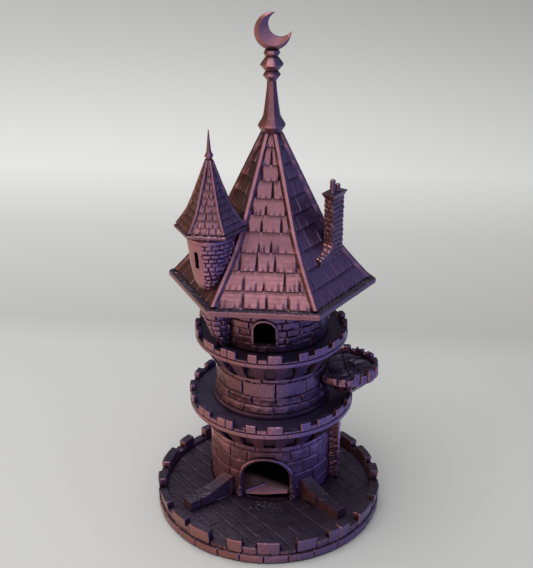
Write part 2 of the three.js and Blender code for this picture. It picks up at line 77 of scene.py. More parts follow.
# GAP is the clearance between neighbouring pieces.
GAP = 0.3
TRAY_CENTRE = (0.0, 0.0)
AXIS = (0.0, (LOWER_LOW[1] + LOWER_HIGH[1]) / 2)
TRAY_RADIUS = (TRAY_HIGH[0] - TRAY_LOW[0]) / 2
TRAY_WALL = TRAY_RADIUS - 1.0
TRAY_INSIDE = TRAY_RADIUS - 6.2
TRAY_TOP = TRAY_HIGH[2]
TRAY_CRENEL = TRAY_TOP - 4.7
TRAY_FLOOR = 9.0
FOOTING_TOP = 7.2
SOCKET_FLOOR = TRAY_FLOOR - 3.0

# The right guide wall's edge along the chute in plan, from beside the arch to its far end.
GUIDE_START = np.array((25.5, -16.4))
GUIDE_END = np.array((55.0, -42.0))
GUIDE_THICKNESS = 9.7
PILASTER_BEARING = 80.5

LOWER_RADIUS = (LOWER_HIGH[0] - LOWER_LOW[0]) / 2
LOWER_INSIDE = LOWER_RADIUS - 4.0
MIDDLE_FOOT = (MIDDLE_HIGH[0] - MIDDLE_LOW[0]) / 2
MIDDLE_RADIUS = MIDDLE_FOOT - 2.4
MIDDLE_INSIDE = MIDDLE_RADIUS - 3.3
UPPER_FOOT = 43.0
UPPER_RADIUS = (UPPER_HIGH[0] - UPPER_LOW[0]) / 2
UPPER_INSIDE = UPPER_RADIUS - 8.0

ARCH = {"half": 17.6, "spring": 27.5, "floor": TRAY_FLOOR, "band": 5.6, "proud": 2.2}
WINDOW = {"x": -1.0, "half": 7.8, "sill": 141.0, "spring": 152.8, "band": 1.8, "proud": 1.4}

# Merlons as bearing of the middle and width, in degrees.
TRAY_MERLONS = [
    (5.2, 11.1), (24.2, 10.2), (42.5, 13.1), (63.5, 14), (80, 11.5), (100, 7.6), (116, 12.4),
    (133, 12.3), (151, 9), (169, 12), (187, 8), (205, 11), (223, 7.5), (240, 8), (258.5, 15),
    (277.5, 8), (296, 12.2), (313.7, 11.3), (328.7, 12.4), (348.5, 7.7),
]
WALK_HALF = [
    (-48, 12.7), (-28, 13), (-8.8, 7.2), (7.6, 10.5), (28.9, 7.4),
    (44.5, 13), (60.5, 9), (76.4, 8.4), (94.7, 8.2), (109.4, 7.5),
]
WALK_MERLONS = [(middle + turn, width) for turn in (0, 180) for middle, width in WALK_HALF]
WIDE_GAP = 7.8

ROOF_TOP = ROOF_HIGH[2]
ROOF_TOP_RADIUS = 5.3
EAVE_RADIUS = 76.3
EAVE_Z = 177.4
SOFFIT = 173.3
SHINGLE_FOOT = (69.9, 178.4)
ROOF_BEAM = (0.95, 1.9, 2.1)
ROOF_PITCH = (15, 9)
SHINGLE_ROWS = [178.4, 188, 198.9, 209.8, 222.5, 233, 243.8, 254.9, 265.1, 276.4, ROOF_TOP]

TURRET = (-38.7, -12.0)
TURRET_EAVE = 228.0
TURRET_EAVE_RADIUS = 25.7
TURRET_TOP = 275.0
TURRET_BODY_TOP = 224.7
SLIT_BEARING = -33

CHIMNEY = (44.7, 16.2)
CHIMNEY_BEARING = math.radians(60)
CHIMNEY_SIZE = (14.8, 7.9)
CHIMNEY_FOOT = 182

BALCONY = (57.0, 22.0)
BALCONY_RADIUS = 24.5
BALCONY_BAND = 99
BALCONY_FLOOR = 103.8
BALCONY_CRENEL = 106.2

# Centres of the moon and of the bite out of it are in X and Z.
MOON, MOON_RADIUS = np.array((0.6, 353.4)), 12.4
BITE, BITE_RADIUS = np.array((5.9, 358.1)), 8.3
SPINDLE_FOOT = 285.0

# The corbels of each gallery, and a reach from the axis that is outside every wall.
CORBELS = 20
BEYOND_WALLS = 60

# The camera's place is in metres, its lens and sensor in millimetres.
CAMERA_PLACE = (0.0583, -0.6427, 0.4769)
CAMERA_DOWN = 24.7
CAMERA_TURN = 5.19
CAMERA_LENS = 63.2
CAMERA_SENSOR = 36
CAMERA_SHIFT = -2 / 568

# Colours of the silk print where it is level, of the painted shade in crevices, and of the painted highlight
# on raised edges.
LEVEL_COLOUR = (0.064, 0.050, 0.078)
PAINTED_SHADE_COLOUR = (0.012, 0.009, 0.026)
GLINT = (1.7, 1.6, 1.6)


# ---- Numbers that look random but repeat ----

def chance(*keys):
    """A repeatable number from 0 to 1 for each set of whole-number keys."""
    with np.errstate(over="ignore"):
        value = np.uint64(0x9E3779B97F4A7C15)
        for key in keys:
            part = np.asarray(key, np.int64).astype(np.uint64)
            value = (value ^ part) * np.uint64(0xBF58476D1CE4E5B9)
            value = value ^ (value >> np.uint64(29))
        return (value >> np.uint64(11)).astype(float) / 2.0**53


def noise(points, size, seed):
    """Smooth noise from -1 to 1 with bumps about size apart."""
    scaled = np.asarray(points, float) / size
    cell = np.floor(scaled).astype(np.int64)
    part = scaled - cell
    part = part * part * (3 - 2 * part)
    total = 0.0
    for corner in np.ndindex(2, 2, 2):
        near = np.prod(np.where(corner, part, 1 - part), axis=-1)
        keys = [cell[..., k] + corner[k] for k in range(3)]
        total += near * chance(*keys, seed)
    return total * 2 - 1


def rough(points, size, seed, layers=3):
    """Noise with finer and weaker layers added."""
    return sum(noise(points, size / 2**k, seed + k) / 2**k for k in range(layers))


def smooth(value, low, high):
    """0 below low, 1 above high and a soft step between."""
    part = np.clip((value - low) / (high - low), 0, 1)
    return part * part * (3 - 2 * part)


# ---- Relief of stone blocks ----

def block_at(place, border):
    """The number of the block each place is in; border gives the place where a block starts."""
    first = np.floor(place)
    return first - (place < border(first)) + (place >= border(first + 1))


def blocks(points, along, height, courses, length, seed, joint=0.8, depth=0.9,
           pillow=0.35, shift=0.3, lean=0.04, wobble=0.3, spread=0.35, crown=1.2):
    """Relief of coursed blocks: grooves at the joints, crowned faces, each block set a little differently.

    courses is [(bottom, place of one joint, number of blocks)] and ends with the top of the last one.
    along is in millimetres and repeats after length."""
    bottoms, places, counts = np.array(courses, float).T
    wavy = height + wobble * noise(points, 9, seed)
    course = np.clip(np.searchsorted(bottoms, wavy) - 1, 0, len(courses) - 2)
    count = counts[course]
    size = length / count
    place = (along - places[course] + wobble * noise(points, 6, seed + 1)) / size

    def border(index):
        key = np.mod(index, count).astype(np.int64)
        return index + spread * (chance(course, key, seed) - 0.5)

    block = block_at(place, border)
    left = (place - border(block)) * size
    right = (border(block + 1) - place) * size
    under = wavy - bottoms[course]
    over = bottoms[course + 1] - wavy
    edge = np.minimum(np.minimum(left, right), np.minimum(under, over))
    key = np.mod(block, count).astype(np.int64)
    worn = joint * (1 + 0.5 * noise(points, 2.2, seed + 2))
    relief = -depth * (1 - smooth(edge, 0.25 * worn, 1.1 * worn))
    relief += pillow * (1 - np.exp(-np.maximum(edge, 0) / crown))
    relief += shift * (chance(course, key, seed + 3) - 0.5) * smooth(edge, 0, worn)
    relief += lean * (chance(course, key, seed + 4) - 0.5) * (left - right) * 0.5
    return relief + lean * (chance(course, key, seed + 5) - 0.5) * (under - over)


def bricks(bottom, top, pitch, length, size, seed):
    """Courses of equal height with blocks of about one size."""
    count = max(1, round((top - bottom) / pitch))
    levels = np.linspace(bottom, top, count + 1)
    return [(z, 7.0 * chance(k, seed), max(3, round(length / size))) for k, z in enumerate(levels)]


# ---- Skins ----

def unit(vectors):
    """Vectors scaled to a length of one."""
    return vectors / np.linalg.norm(vectors, axis=-1, keepdims=True)


def compass(bearing):
    """Unit vectors in plan: out along a bearing, and to the right of it."""
    angle = math.radians(bearing)
    out = np.array((math.sin(angle), -math.cos(angle)))
    return out, np.array((math.cos(angle), math.sin(angle)))


def rings(corners):
    """Corners of a profile, each a tuple ending in the number of steps to the next, filled in."""
    rows = []
    for corner, after in zip(corners, corners[1:] + corners[:1]):
        here = np.array(corner[:-1], float)
        there = np.array(after[:-1], float)
        for k in range(corner[-1]):
            rows.append(here + (there - here) * k / corner[-1])
    return np.array(rows)


def around(step, edges=(), slot=0.12):
    """Bearings round a full turn, with a close pair of them at each edge."""
    plain = np.arange(0, 360, step)
    pairs = np.array([(e - slot, e + slot) for e in edges]).ravel() % 360
    if len(pairs):
        far = np.abs((plain[:, None] - pairs[None, :] + 180) % 360 - 180).min(axis=1)
        plain = plain[far > 0.5 * step]
    return np.sort(np.concatenate([plain, pairs]))


def at(bearing, radius, height, centre=AXIS):
    """Points at bearings, distances and heights round a centre."""
    angle = np.radians(bearing)
    x = centre[0] + radius * np.sin(angle)
    y = centre[1] - radius * np.cos(angle)
    return np.stack(np.broadcast_arrays(x, y, height), axis=-1)


def with_height(flat, height):
    """Points from places in plan and heights, each spread over the other's shape."""
    shape = np.broadcast_shapes(flat.shape[:-1], np.shape(height))
    flat = np.broadcast_to(flat, (*shape, 2))
    return np.concatenate([flat, np.broadcast_to(height, shape)[..., None]], axis=-1)


def skin(grid, loop):
    """Points and faces of a grid of rings; it closes on itself, or with a fan at each end."""
    rows, columns = grid.shape[:2]
    index = np.arange(rows * columns).reshape(rows, columns)
    beside = np.roll(index, -1, axis=1)
    if loop:
        above, above_beside = np.roll(index, -1, axis=0), np.roll(beside, -1, axis=0)
        quads = np.stack([index, beside, above_beside, above], axis=-1).reshape(-1, 4)
        return grid.reshape(-1, 3), quads, np.zeros((0, 3), int)
    quads = np.stack([index[:-1], beside[:-1], beside[1:], index[1:]], axis=-1).reshape(-1, 4)
    first, last = rows * columns, rows * columns + 1
    start = np.stack([np.full(columns, first), beside[0], index[0]], axis=-1)
    end = np.stack([np.full(columns, last), index[-1], beside[-1]], axis=-1)
    points = np.concatenate([grid.reshape(-1, 3), grid[:1].mean(axis=1), grid[-1:].mean(axis=1)])
    return points, quads, np.concatenate([start, end])


def volume(points, triangles):
    """Six times the volume inside triangles, negative where they face inwards."""
    a, b, c = (points[triangles[:, k]] for k in range(3))
    return np.einsum("ij,ij->i", a, np.cross(b, c)).sum()


def mesh_object(name, grid, loop=False, flat=None):
    """A closed object from a grid of rings, with its faces pointing out; flat marks the rings of floors."""
    points, quads, fans = skin(grid, loop)
    split = np.concatenate([quads[:, [0, 1, 2]], quads[:, [0, 2, 3]], fans])
    if volume(points, split) < 0:
        quads, fans = quads[:, ::-1], fans[:, ::-1]
    mesh = bpy.data.meshes.new(name)
    mesh.from_pydata((points * MM).tolist(), [], quads.tolist() + fans.tolist())
    if flat is not None:
        share = np.zeros(len(points), np.float32)
        share[: grid.shape[0] * grid.shape[1]] = np.repeat(flat, grid.shape[1])
        mesh.attributes.new("flat", "FLOAT", "POINT").data.foreach_set("value", share)
    piece = bpy.data.objects.new(name, mesh)
    bpy.context.scene.collection.objects.link(piece)
    return piece


def apply_boolean(piece, tools, operation="DIFFERENCE"):
    """Cuts the tools out of a piece, or adds them to it, and removes the tools."""
    for tool in tools:
        step = piece.modifiers.new("boolean", "BOOLEAN")
        step.operation = operation
        step.solver = "MANIFOLD"
        step.object = tool
    bpy.context.view_layer.update()
    done = piece.evaluated_get(bpy.context.evaluated_depsgraph_get())
    mesh = bpy.data.meshes.new_from_object(done)
    piece.modifiers.clear()
    piece.data = mesh
    for tool in tools:
        bpy.data.objects.remove(tool)
    return piece


def turned(name, corners, step=3.0, centre=AXIS, loop=False):
    """A plain turned solid. corners are (radius, height, steps)."""
    rows = rings(corners)
    bearings = around(step)
    return mesh_object(name, at(bearings, rows[:, 0, None], rows[:, 1, None], centre), loop)


def drum(radius, low, high, centre=AXIS):
    """A plain round cutting tool."""
    return turned("drum", [(radius, low, 1), (radius, high, 1)], 3.0, centre)


def arch_outline(x, half, floor, spring, count=24):
    """Points of an arched opening in X and Z: straight sides and a half circle."""
    angle = np.linspace(0, np.pi, count + 1)
    top = np.stack([x + half * np.cos(angle), spring + half * np.sin(angle)], axis=-1)
    return np.concatenate([[(x - half, floor), (x + half, floor)], top])


def pushed(bearing, outline, near, far, centre=AXIS):
    """An outline of places across and heights, pushed outwards along a bearing, as a cutting tool."""
    out, side = compass(bearing)
    grid = [[(*(centre + radius * out + s * side), z) for s, z in outline] for radius in (near, far)]
    return mesh_object("push", np.array(grid))


# ---- Stone walls ----

def stone_ring(name, corners, bearings, relief, centre=AXIS, squeeze=None, loop=True):
    """A turned piece with relief.

    corners are (radius, height, outward share, upward share, steps), with a shift along Y before the steps
    where the rings stand off the centre. relief(points, bearing, height, radius) gives millimetres, and
    squeeze(bearing, height) moves heights."""
    rows = rings(corners)
    bearing = np.broadcast_to(bearings, (len(rows), len(bearings)))
    radius = rows[:, 0, None] + 0 * bearing
    height = rows[:, 1, None] + 0 * bearing
    shift = rows[:, 4:].sum(axis=1)[:, None]
    if squeeze:
        height = squeeze(bearing, height)
    points = at(bearing, radius, height, centre)
    points[..., 1] += shift
    lift = relief(points, bearing, height, radius)
    grid = at(bearing, radius + rows[:, 2, None] * lift, height + rows[:, 3, None] * lift, centre)
    grid[..., 1] += shift
    return mesh_object(name, grid, loop, rows[:, 3] > 0.9)


def nearest_merlon(bearing, merlons):
    """Index of the merlon nearest to each bearing, and the signed degrees from its middle."""
    middles = np.array([m[0] for m in merlons], float)
    off = (bearing[..., None] - middles + 180) % 360 - 180
    widths = np.array([m[1] for m in merlons], float)
    index = np.argmin(np.abs(off) - widths / 2, axis=-1)
    return index, np.take_along_axis(off, index[..., None], axis=-1)[..., 0], widths[index]


def merlon_edges(merlons):
    """Bearings where merlons start and end."""
    return [middle + side * width / 2 for middle, width in merlons for side in (-1, 1)]


def gap_after(index, off, merlons):
    """Degrees of open gap on the side of its nearest merlon that each point is on."""
    starts = np.array([m[0] - m[1] / 2 for m in merlons], float)
    ends = np.array([m[0] + m[1] / 2 for m in merlons], float)
    after = (np.roll(starts, -1) - ends) % 360
    before = np.roll(after, 1)
    return np.where(off > 0, after[index], before[index])


def battlements(merlons, base, crenel, deep, top, seed):
    """How heights above base follow the merlons.

    They are full on a merlon, a low block in a narrow gap and lower still in a wide one."""
    def squeeze(bearing, height):
        index, off, width = nearest_merlon(bearing, merlons)
        on = np.abs(off) < width / 2
        full = top - 0.5 * chance(index, seed) + 0.5 * (chance(index, seed + 1) - 0.5) * off / width
        low = np.where(gap_after(index, off, merlons) > WIDE_GAP, deep, crenel)
        share = (np.where(on, full, low) - base) / (top - base)
        return np.where(height > base, base + (height - base) * share, height)
    return squeeze


def merlon_relief(points, bearing, height, merlons, radius, low, seed):
    """Relief of parapet blocks: a joint at both sides of each merlon and in the middle of wide ones."""
    index, off, width = nearest_merlon(bearing, merlons)
    scale = math.radians(1) * radius
    side = (np.abs(off) - width / 2) * scale
    edge = np.abs(side) + 0.25 * (side < 0)
    wide = (width > 12) & (chance(index, seed) > 0.35)
    middle = (off + width * 0.3 * (chance(index, seed + 1) - 0.5)) * scale
    edge = np.where(wide & (side < 0), np.minimum(edge, np.abs(middle)), edge)
    joint = 0.55 * (1 + 0.4 * noise(points, 2, seed + 2))
    half = (middle > 0).astype(int) * wide
    on = side < 0
    relief = -0.75 * (1 - smooth(edge, 0.3 * joint, 1.5 * joint))
    set_out = np.where(on, chance(index, half, seed + 3) - 0.3, chance(index, seed + 4) - 0.8)
    relief += 0.7 * set_out * smooth(height, low, low + 1.2)
    tilt = (chance(index, half, seed + 5) - 0.5) * 0.12
    relief += np.where(on, tilt * off * scale * 0.3, 0)
    return relief + 0.16 * rough(points, 2.4, seed + 6) + 0.1 * noise(points, 0.9, seed + 9)


# ---- Tray ----

def flagstones(points, seed):
    """Relief of a floor of slabs laid slantwise, in rows of changing width."""
    turn = math.radians(-46)
    along = points[..., 0] * math.cos(turn) + points[..., 1] * math.sin(turn)
    across = points[..., 1] * math.cos(turn) - points[..., 0] * math.sin(turn)
    count = np.arange(24)
    widths = np.where(count % 3 == 1, 7.2, 12.4) + 2.2 * (chance(count, seed) - 0.5)
    borders = np.cumsum(widths) - widths.sum() / 2 - 3.0
    across = across + 0.25 * noise(points, 8, seed)
    row = np.clip(np.searchsorted(borders, across) - 1, 0, len(borders) - 2)
    size = 15 + 14 * chance(row, seed + 1)
    place = (along + 0.25 * noise(points, 7, seed + 2)) / size + chance(row, seed + 3)

    def border(index):
        return index + 0.5 * (chance(row, index.astype(np.int64), seed + 4) - 0.5)

    slab = block_at(place, border)
    left = (place - border(slab)) * size
    right = (border(slab + 1) - place) * size
    beyond = np.minimum(across - borders[row], borders[row + 1] - across)
    edge = np.minimum(np.minimum(left, right), beyond)
    key = slab.astype(np.int64)
    relief = -0.45 * (1 - smooth(edge, 0.0, 0.6))
    relief += 0.3 * (chance(row, key, seed + 5) - 0.5)
    relief += 0.02 * (chance(row, key, seed + 6) - 0.5) * (left - right)
    return relief + 0.1 * rough(points, 5, seed + 7) + 0.06 * noise(points, 1.1, seed + 11)


def tray_relief(points, bearing, height, radius):
    """Blocks in the footing, worn merlons above it and a slab floor with crumbs before the arch."""
    scale = math.radians(1) * TRAY_WALL
    courses = [(0.3, 4.0, 29), (FOOTING_TOP, 0, 29)]
    footing = blocks(points, bearing * scale, height, courses, 360 * scale, 11, 0.7, 0.7, 0.3, 0.35, 0.03)
    footing += 0.15 * rough(points, 2.5, 15)
    parapet = merlon_relief(points, bearing, height, TRAY_MERLONS, TRAY_WALL, FOOTING_TOP, 21)
    side = np.where(height < FOOTING_TOP, footing, parapet)
    threshold = np.hypot(points[..., 0] / 17, (points[..., 1] + 32) / 8)
    crumbs = 0.5 * rough(points, 3.2, 41) + 0.45 * noise(points, 1.3, 45)
    floor_relief = flagstones(points, 31) + (1 - smooth(threshold, 0.6, 1.1)) * crumbs
    return np.where(radius < TRAY_INSIDE - 0.4, floor_relief, side)


def tray_base():
    """The tray: a footing course, a parapet with merlons, a slab floor and the tower's socket."""
    y = AXIS[1]
    socket = LOWER_RADIUS + GAP
    corners = [
        (TRAY_RADIUS - 1.2, 0, 0, 0, 0, 1), (TRAY_RADIUS - 0.4, 0, 0.3, 0, 0, 2),
        (TRAY_RADIUS, 0.5, 1, 0, 0, 8), (TRAY_RADIUS, FOOTING_TOP - 0.7, 1, 0, 0, 2),
        (TRAY_RADIUS - 0.9, FOOTING_TOP - 0.15, 0.6, 0, 0, 1),
        (TRAY_WALL - 0.9, FOOTING_TOP + 0.15, 0.6, 0, 0, 2),
        (TRAY_WALL, FOOTING_TOP + 0.6, 1, 0, 0, 16), (TRAY_WALL + 1.5, TRAY_TOP - 0.5, 1, 0.3, 0, 1),
        (TRAY_WALL + 1.0, TRAY_TOP, 0.8, 0.6, 0, 6), (TRAY_INSIDE + 1.2, TRAY_TOP, -0.8, 0.6, 0, 1),
        (TRAY_INSIDE + 0.7, TRAY_TOP - 0.5, -1, 0.3, 0, 12), (TRAY_INSIDE, TRAY_FLOOR, 0, 0, 0, 1),
        (TRAY_INSIDE - 0.5, TRAY_FLOOR, 0, 1, 0.4, 64), (socket + 0.8, TRAY_FLOOR, 0, 1, y, 1),
        (socket, TRAY_FLOOR - 0.5, 0, 0, y, 1), (socket, SOCKET_FLOOR, 0, 0, y, 1),
    ]
    squeeze = battlements(TRAY_MERLONS, TRAY_CRENEL - 4, TRAY_CRENEL, TRAY_CRENEL - 2.6, TRAY_TOP, 51)
    bearings = around(0.36, merlon_edges(TRAY_MERLONS))
    return stone_ring("tray_base_print", corners, bearings, tray_relief, TRAY_CENTRE, squeeze, False)


def guide_wall(name, side):
    """A low block wall from beside the arch out into the tray, its top dipping outwards."""
    base = TRAY_FLOOR - 0.2
    length = np.hypot(*(GUIDE_END - GUIDE_START))
    forward = (GUIDE_END - GUIDE_START) / length
    outward = np.array((-forward[1], forward[0]))
    rows = rings([(-6.0, 110), (length, 1)])
    share = np.clip(rows / length, 0, 1)
    tops = 16.6 + 9.4 * (1 - share) ** 2.5
    outline = rings([(0, 0, -1, 16), (0, 1, -1, 22), (1, 1, 1, 16), (1, 0, 1, 4)])
    across, up, push = outline.T
    flat = GUIDE_START + rows[..., None] * forward
    flat = flat + GUIDE_THICKNESS * across[:, None] * outward
    grid = with_height(flat, base + (tops - base) * up)
    courses = [(base - 1, 4.0, 5), (base + 40, 8.0, 5)]
    lift = blocks(grid, rows + 0 * across, grid[..., 2], courses, 60.0, 61 + side, 0.5, 0.7, 0.1, 0.4)
    lift += 0.12 * rough(grid, 2.6, 65 + side)
    lift *= smooth(np.minimum(rows - rows[0], rows[-1] - rows), -0.5, 0.5)
    grid[..., :2] += (lift * push * (up > 0.01))[..., None] * outward
    worn = 0.06 + 0.16 * smooth(share, 0.4, 0.6)
    grid[..., 2] += smooth(up, 0.97, 1.0) * worn * (rough(grid, 2.4, 75) + noise(grid, 1.1, 79))
    if side < 0:
        grid[..., 0] *= -1
    piece = mesh_object(name, grid)
    return apply_boolean(piece, [drum(LOWER_RADIUS + GAP, 0, 60)])


# ---- Tower ----

def wall_relief(courses, radius, seed, **options):
    """Relief of a storey's wall; the courses place their joints by bearing."""
    scale = math.radians(1) * radius
    placed = [(z, bearing * scale, count) for z, bearing, count in courses]

    def relief(points, bearing, height, _):
        lift = blocks(points, bearing * scale, height, placed, 360 * scale, seed, **options)
        return lift + 0.22 * rough(points * (1, 1, 0.6), 4.5, seed + 8)
    return relief


def tower_lower():
    """The bottom storey, with the exit arch cut through it."""
    courses = [
        (4, 3, 17), (9, 10, 18), (18.9, 3, 17), (30.9, 12, 16), (42, 4, 18), (51.9, 14, 16), (60, 3, 17),
        (70, 9, 17), (80, 0, 17),
    ]
    low, high = LOWER_LOW[2], LOWER_HIGH[2]
    corners = [
        (LOWER_RADIUS - 0.2, low, 0, 0, 4), (LOWER_RADIUS - 0.2, TRAY_FLOOR + 0.2, 0, 0, 1),
        (LOWER_RADIUS - 0.4, TRAY_FLOOR + 0.6, 0.8, 0, 78), (LOWER_RADIUS - 0.4, 61, 0.8, 0, 8),
        (LOWER_RADIUS - 0.4, high, 0, 0, 2), (LOWER_INSIDE, high, 0, 0, 12), (LOWER_INSIDE, low, 0, 0, 2),
    ]
    relief = wall_relief(courses, LOWER_RADIUS, 101, joint=0.6, depth=0.7, pillow=0.15, crown=0.6)
    piece = stone_ring("tower_lower_print", corners, around(0.6), relief)
    opening = arch_outline(0, ARCH["half"], ARCH["floor"], ARCH["spring"])
    return apply_boolean(piece, [pushed(0, opening, BEYOND_WALLS, 25)])


def arch_path(x, half, floor, spring, step):
    """Points and outward directions along an arch's edge, from one foot over to the other."""
    rise = spring - floor
    total = 2 * rise + math.pi * half
    places = np.linspace(0, total, int(total / step) + 1)
    angle = np.clip((places - rise) / half, 0, math.pi)
    points = np.stack([x - half * np.cos(angle), spring + half * np.sin(angle)], axis=-1)
    points[:, 1] -= np.maximum(rise - places, 0) + np.maximum(places - rise - math.pi * half, 0)
    outward = np.stack([-np.cos(angle), np.sin(angle)], axis=-1)
    return places, points, outward


def on_wall(x, z, radius):
    """Points at X and Z on the front of a round wall."""
    y = AXIS[1] - np.sqrt(np.maximum(radius**2 - x**2, 1))
    return np.stack(np.broadcast_arrays(x, y, z), axis=-1)


def arch_surround():
    """A rounded moulding of small wedge blocks round the exit arch, heavier at its feet."""
    places, path, outward = arch_path(0, ARCH["half"] + 0.1, ARCH["floor"] + GAP, ARCH["spring"], 0.45)
    total = places[-1]
    turn = np.linspace(0, math.pi, 17)
    across = np.concatenate([(1 - np.cos(turn)) / 2, [0.75, 0.25]])
    proud = np.concatenate([np.sin(math.pi * across[:17] ** 1.35) ** 0.7, [0.0, 0.0]])
    proud[0] = proud[16] = 0.12
    foot = 1 - smooth(np.minimum(places, total - places), 4, 13)
    width = ARCH["band"] * (0.6 + 0.4 * foot)
    x = path[:, 0, None] + outward[:, 0, None] * across * width[:, None]
    z = path[:, 1, None] + outward[:, 1, None] * across * width[:, None]
    flat = on_wall(x, z, LOWER_RADIUS)
    size = 5.2
    place = places / size + 0.12 * (chance(np.round(places / size).astype(int), 121) - 0.5)
    edge = np.abs(place - np.round(place)) * size
    joint = (1 - smooth(edge, 0.15, 0.75))[:, None]
    block = np.floor(place).astype(int)[:, None]
    lift = 0.92 - 0.1 * joint + 0.06 * (chance(block, 123) - 0.5) + 0.1 * rough(flat, 2.4, 125)
    lift += foot[:, None] * (0.1 + 0.5 * rough(flat, 2.2, 131))
    radius = LOWER_RADIUS + GAP + ARCH["proud"] * proud * np.clip(lift, 0.2, 1.25)
    return mesh_object("arch_surround_print", on_wall(x, z, radius))


def pilaster():
    """A buttress of rubble up the right side of the bottom storey."""
    out, side = compass(PILASTER_BEARING)
    rows = np.linspace(TRAY_FLOOR + GAP, low_high("pilaster")[1][2], 110)
    outline = rings([(46.0, -4.5, 10), (55.0, -3.9, 14), (55.0, 3.9, 10), (46.0, 4.5, 4)])
    grid = with_height(AXIS + outline[:, :1] * out + outline[:, 1:] * side, rows[:, None])
    rubble = 0.5 * rough(grid * (1, 1, 0.8), 2.6, 141) + 0.7 * noise(grid, 1.3, 147)
    rubble *= 1 - 0.7 * smooth(grid[..., 2], 40, 55)
    away = unit(grid[..., :2] - (AXIS + 50.5 * out))
    grid[..., :2] += (rubble - 0.6)[..., None] * away
    piece = mesh_object("pilaster_print", grid)
    return apply_boolean(piece, [drum(LOWER_RADIUS + GAP, 0, 90), walk_hull(WALK_1, LOWER_RADIUS)])


WALK_1 = {
    "outer": (WALK_1_HIGH[0] - WALK_1_LOW[0]) / 2, "parapet": 3.8, "foot": WALK_1_LOW[2] - 2.5, "rim": 74.2,
    "floor": 79.5, "crenel": 81.4, "top": WALK_1_HIGH[2], "groove": 78.0,
}
WALK_2 = {
    "outer": (WALK_2_HIGH[0] - WALK_2_LOW[0]) / 2, "parapet": 3.7, "foot": WALK_2_LOW[2], "rim": 129.7,
    "floor": 134.0, "crenel": 136.4, "top": WALK_2_HIGH[2], "groove": 132.9,
}


def walk_hull(walk, wall):
    """A gallery's outside as a plain drum, with clearance, as a cutting tool."""
    return turned("hull", [
        (wall + 1.6, walk["foot"] - GAP, 1), (walk["outer"] - 2, walk["rim"] - 1.3, 1),
        (walk["outer"] + GAP, walk["rim"] - GAP, 1), (walk["outer"] + GAP, walk["top"] + 1, 1),
    ])


def walk_relief(walk, seed):
    """Relief of a gallery: plain corbels, a band of blocks, merlons and a flat floor."""
    scale = math.radians(1) * walk["outer"]
    rim, groove = walk["rim"], walk["groove"]
    courses = [(rim - 1, 2.0, 24), (groove, 0, 24)]

    def relief(points, bearing, height, radius):
        band = blocks(points, bearing * scale, height, courses, 360 * scale, seed, 0.4, 0.35, 0.1, 0.15, 0.02)
        top = merlon_relief(points, bearing, height, WALK_MERLONS, walk["outer"], groove, seed + 10)
        corbel = 0.12 * rough(points, 3, seed + 20)
        side = np.where(height > groove, top, np.where(height > rim - 0.8, band, corbel))
        inside = radius < walk["outer"] - walk["parapet"] - 0.4
        return np.where(inside & (height > rim), 0.06 * rough(points, 4, seed + 30), side)
    return relief


def walk_corners(walk, wall, seat_radius, seat):
    """Profile of a gallery, from its corbels' foot over the parapet and floor to its seat on the wall."""
    outer, inner = walk["outer"], walk["outer"] - walk["parapet"]
    groove, top, floor_z, rim, foot = (walk[key] for key in ("groove", "top", "floor", "rim", "foot"))
    return [
        (wall + GAP, foot, 0, 0, 1), (wall + GAP + 0.8, foot, 0.5, 0, 2),
        (wall + 2.6, foot + 1.2, 0.5, 0, 22),
        (outer - 2, rim - 0.6, 0.6, 0, 2), (outer - 0.3, rim - 0.1, 0.8, 0, 1),
        (outer, rim + 0.4, 1, 0, 5), (outer, groove - 0.5, 1, 0, 1),
        (outer - 0.8, groove - 0.1, 0.6, 0, 1), (outer - 0.8, groove + 0.2, 0.6, 0, 1),
        (outer - 0.1, groove + 0.6, 1, 0, 10), (outer - 0.1, top - 0.4, 1, 0.2, 1),
        (outer - 0.5, top, 0.8, 0.6, 5), (inner + 0.4, top, -0.8, 0.6, 1),
        (inner, top - 0.4, -1, 0.2, 7), (inner, floor_z, 0, 0, 1),
        (inner - 0.4, floor_z, 0, 1, 16), (seat_radius, floor_z, 0, 0, 2),
        (seat_radius, seat + GAP, 0, 0, 1), (wall + GAP, seat + GAP, 0, 0, 2),
    ]


def joined(tools):
    """Separate tools as one object."""
    with bpy.context.temp_override(active_object=tools[0], selected_editable_objects=tools):
        bpy.ops.object.join()
    return tools[0]


def gallery(name, walk, wall, seat_radius, seat, cutters, seed):
    """A gallery round the wall, with the cutters' pockets between its corbels."""
    base = walk["floor"]
    squeeze = battlements(WALK_MERLONS, base + 0.02, walk["crenel"], base + 0.3, walk["top"], seed)
    bearings = around(0.55, merlon_edges(WALK_MERLONS), 0.16)
    corners = walk_corners(walk, wall, seat_radius, seat)
    piece = stone_ring(name, corners, bearings, walk_relief(walk, seed), AXIS, squeeze)
    return apply_boolean(piece, [joined(cutters)])


def between_corbels(first, outline, near, far):
    """Cutting tools for the hollows between a gallery's corbels, from the bearing of the first."""
    return [pushed(first + 360 / CORBELS * k, outline, near, far) for k in range(CORBELS)]


def gallery_lower():
    """The lower walk: rectangular pockets between its corbels."""
    low, high = WALK_1["foot"] + 1.2, WALK_1["rim"] - 0.5
    outline = [(-3.7, low), (3.7, low), (4.4, low + 1), (4.4, high), (-4.4, high), (-4.4, low + 1)]
    pockets = between_corbels(3.7, outline, LOWER_RADIUS + 0.4, 75)
    return gallery("gallery_lower_print", WALK_1, LOWER_RADIUS, LOWER_INSIDE, LOWER_HIGH[2], pockets, 201)


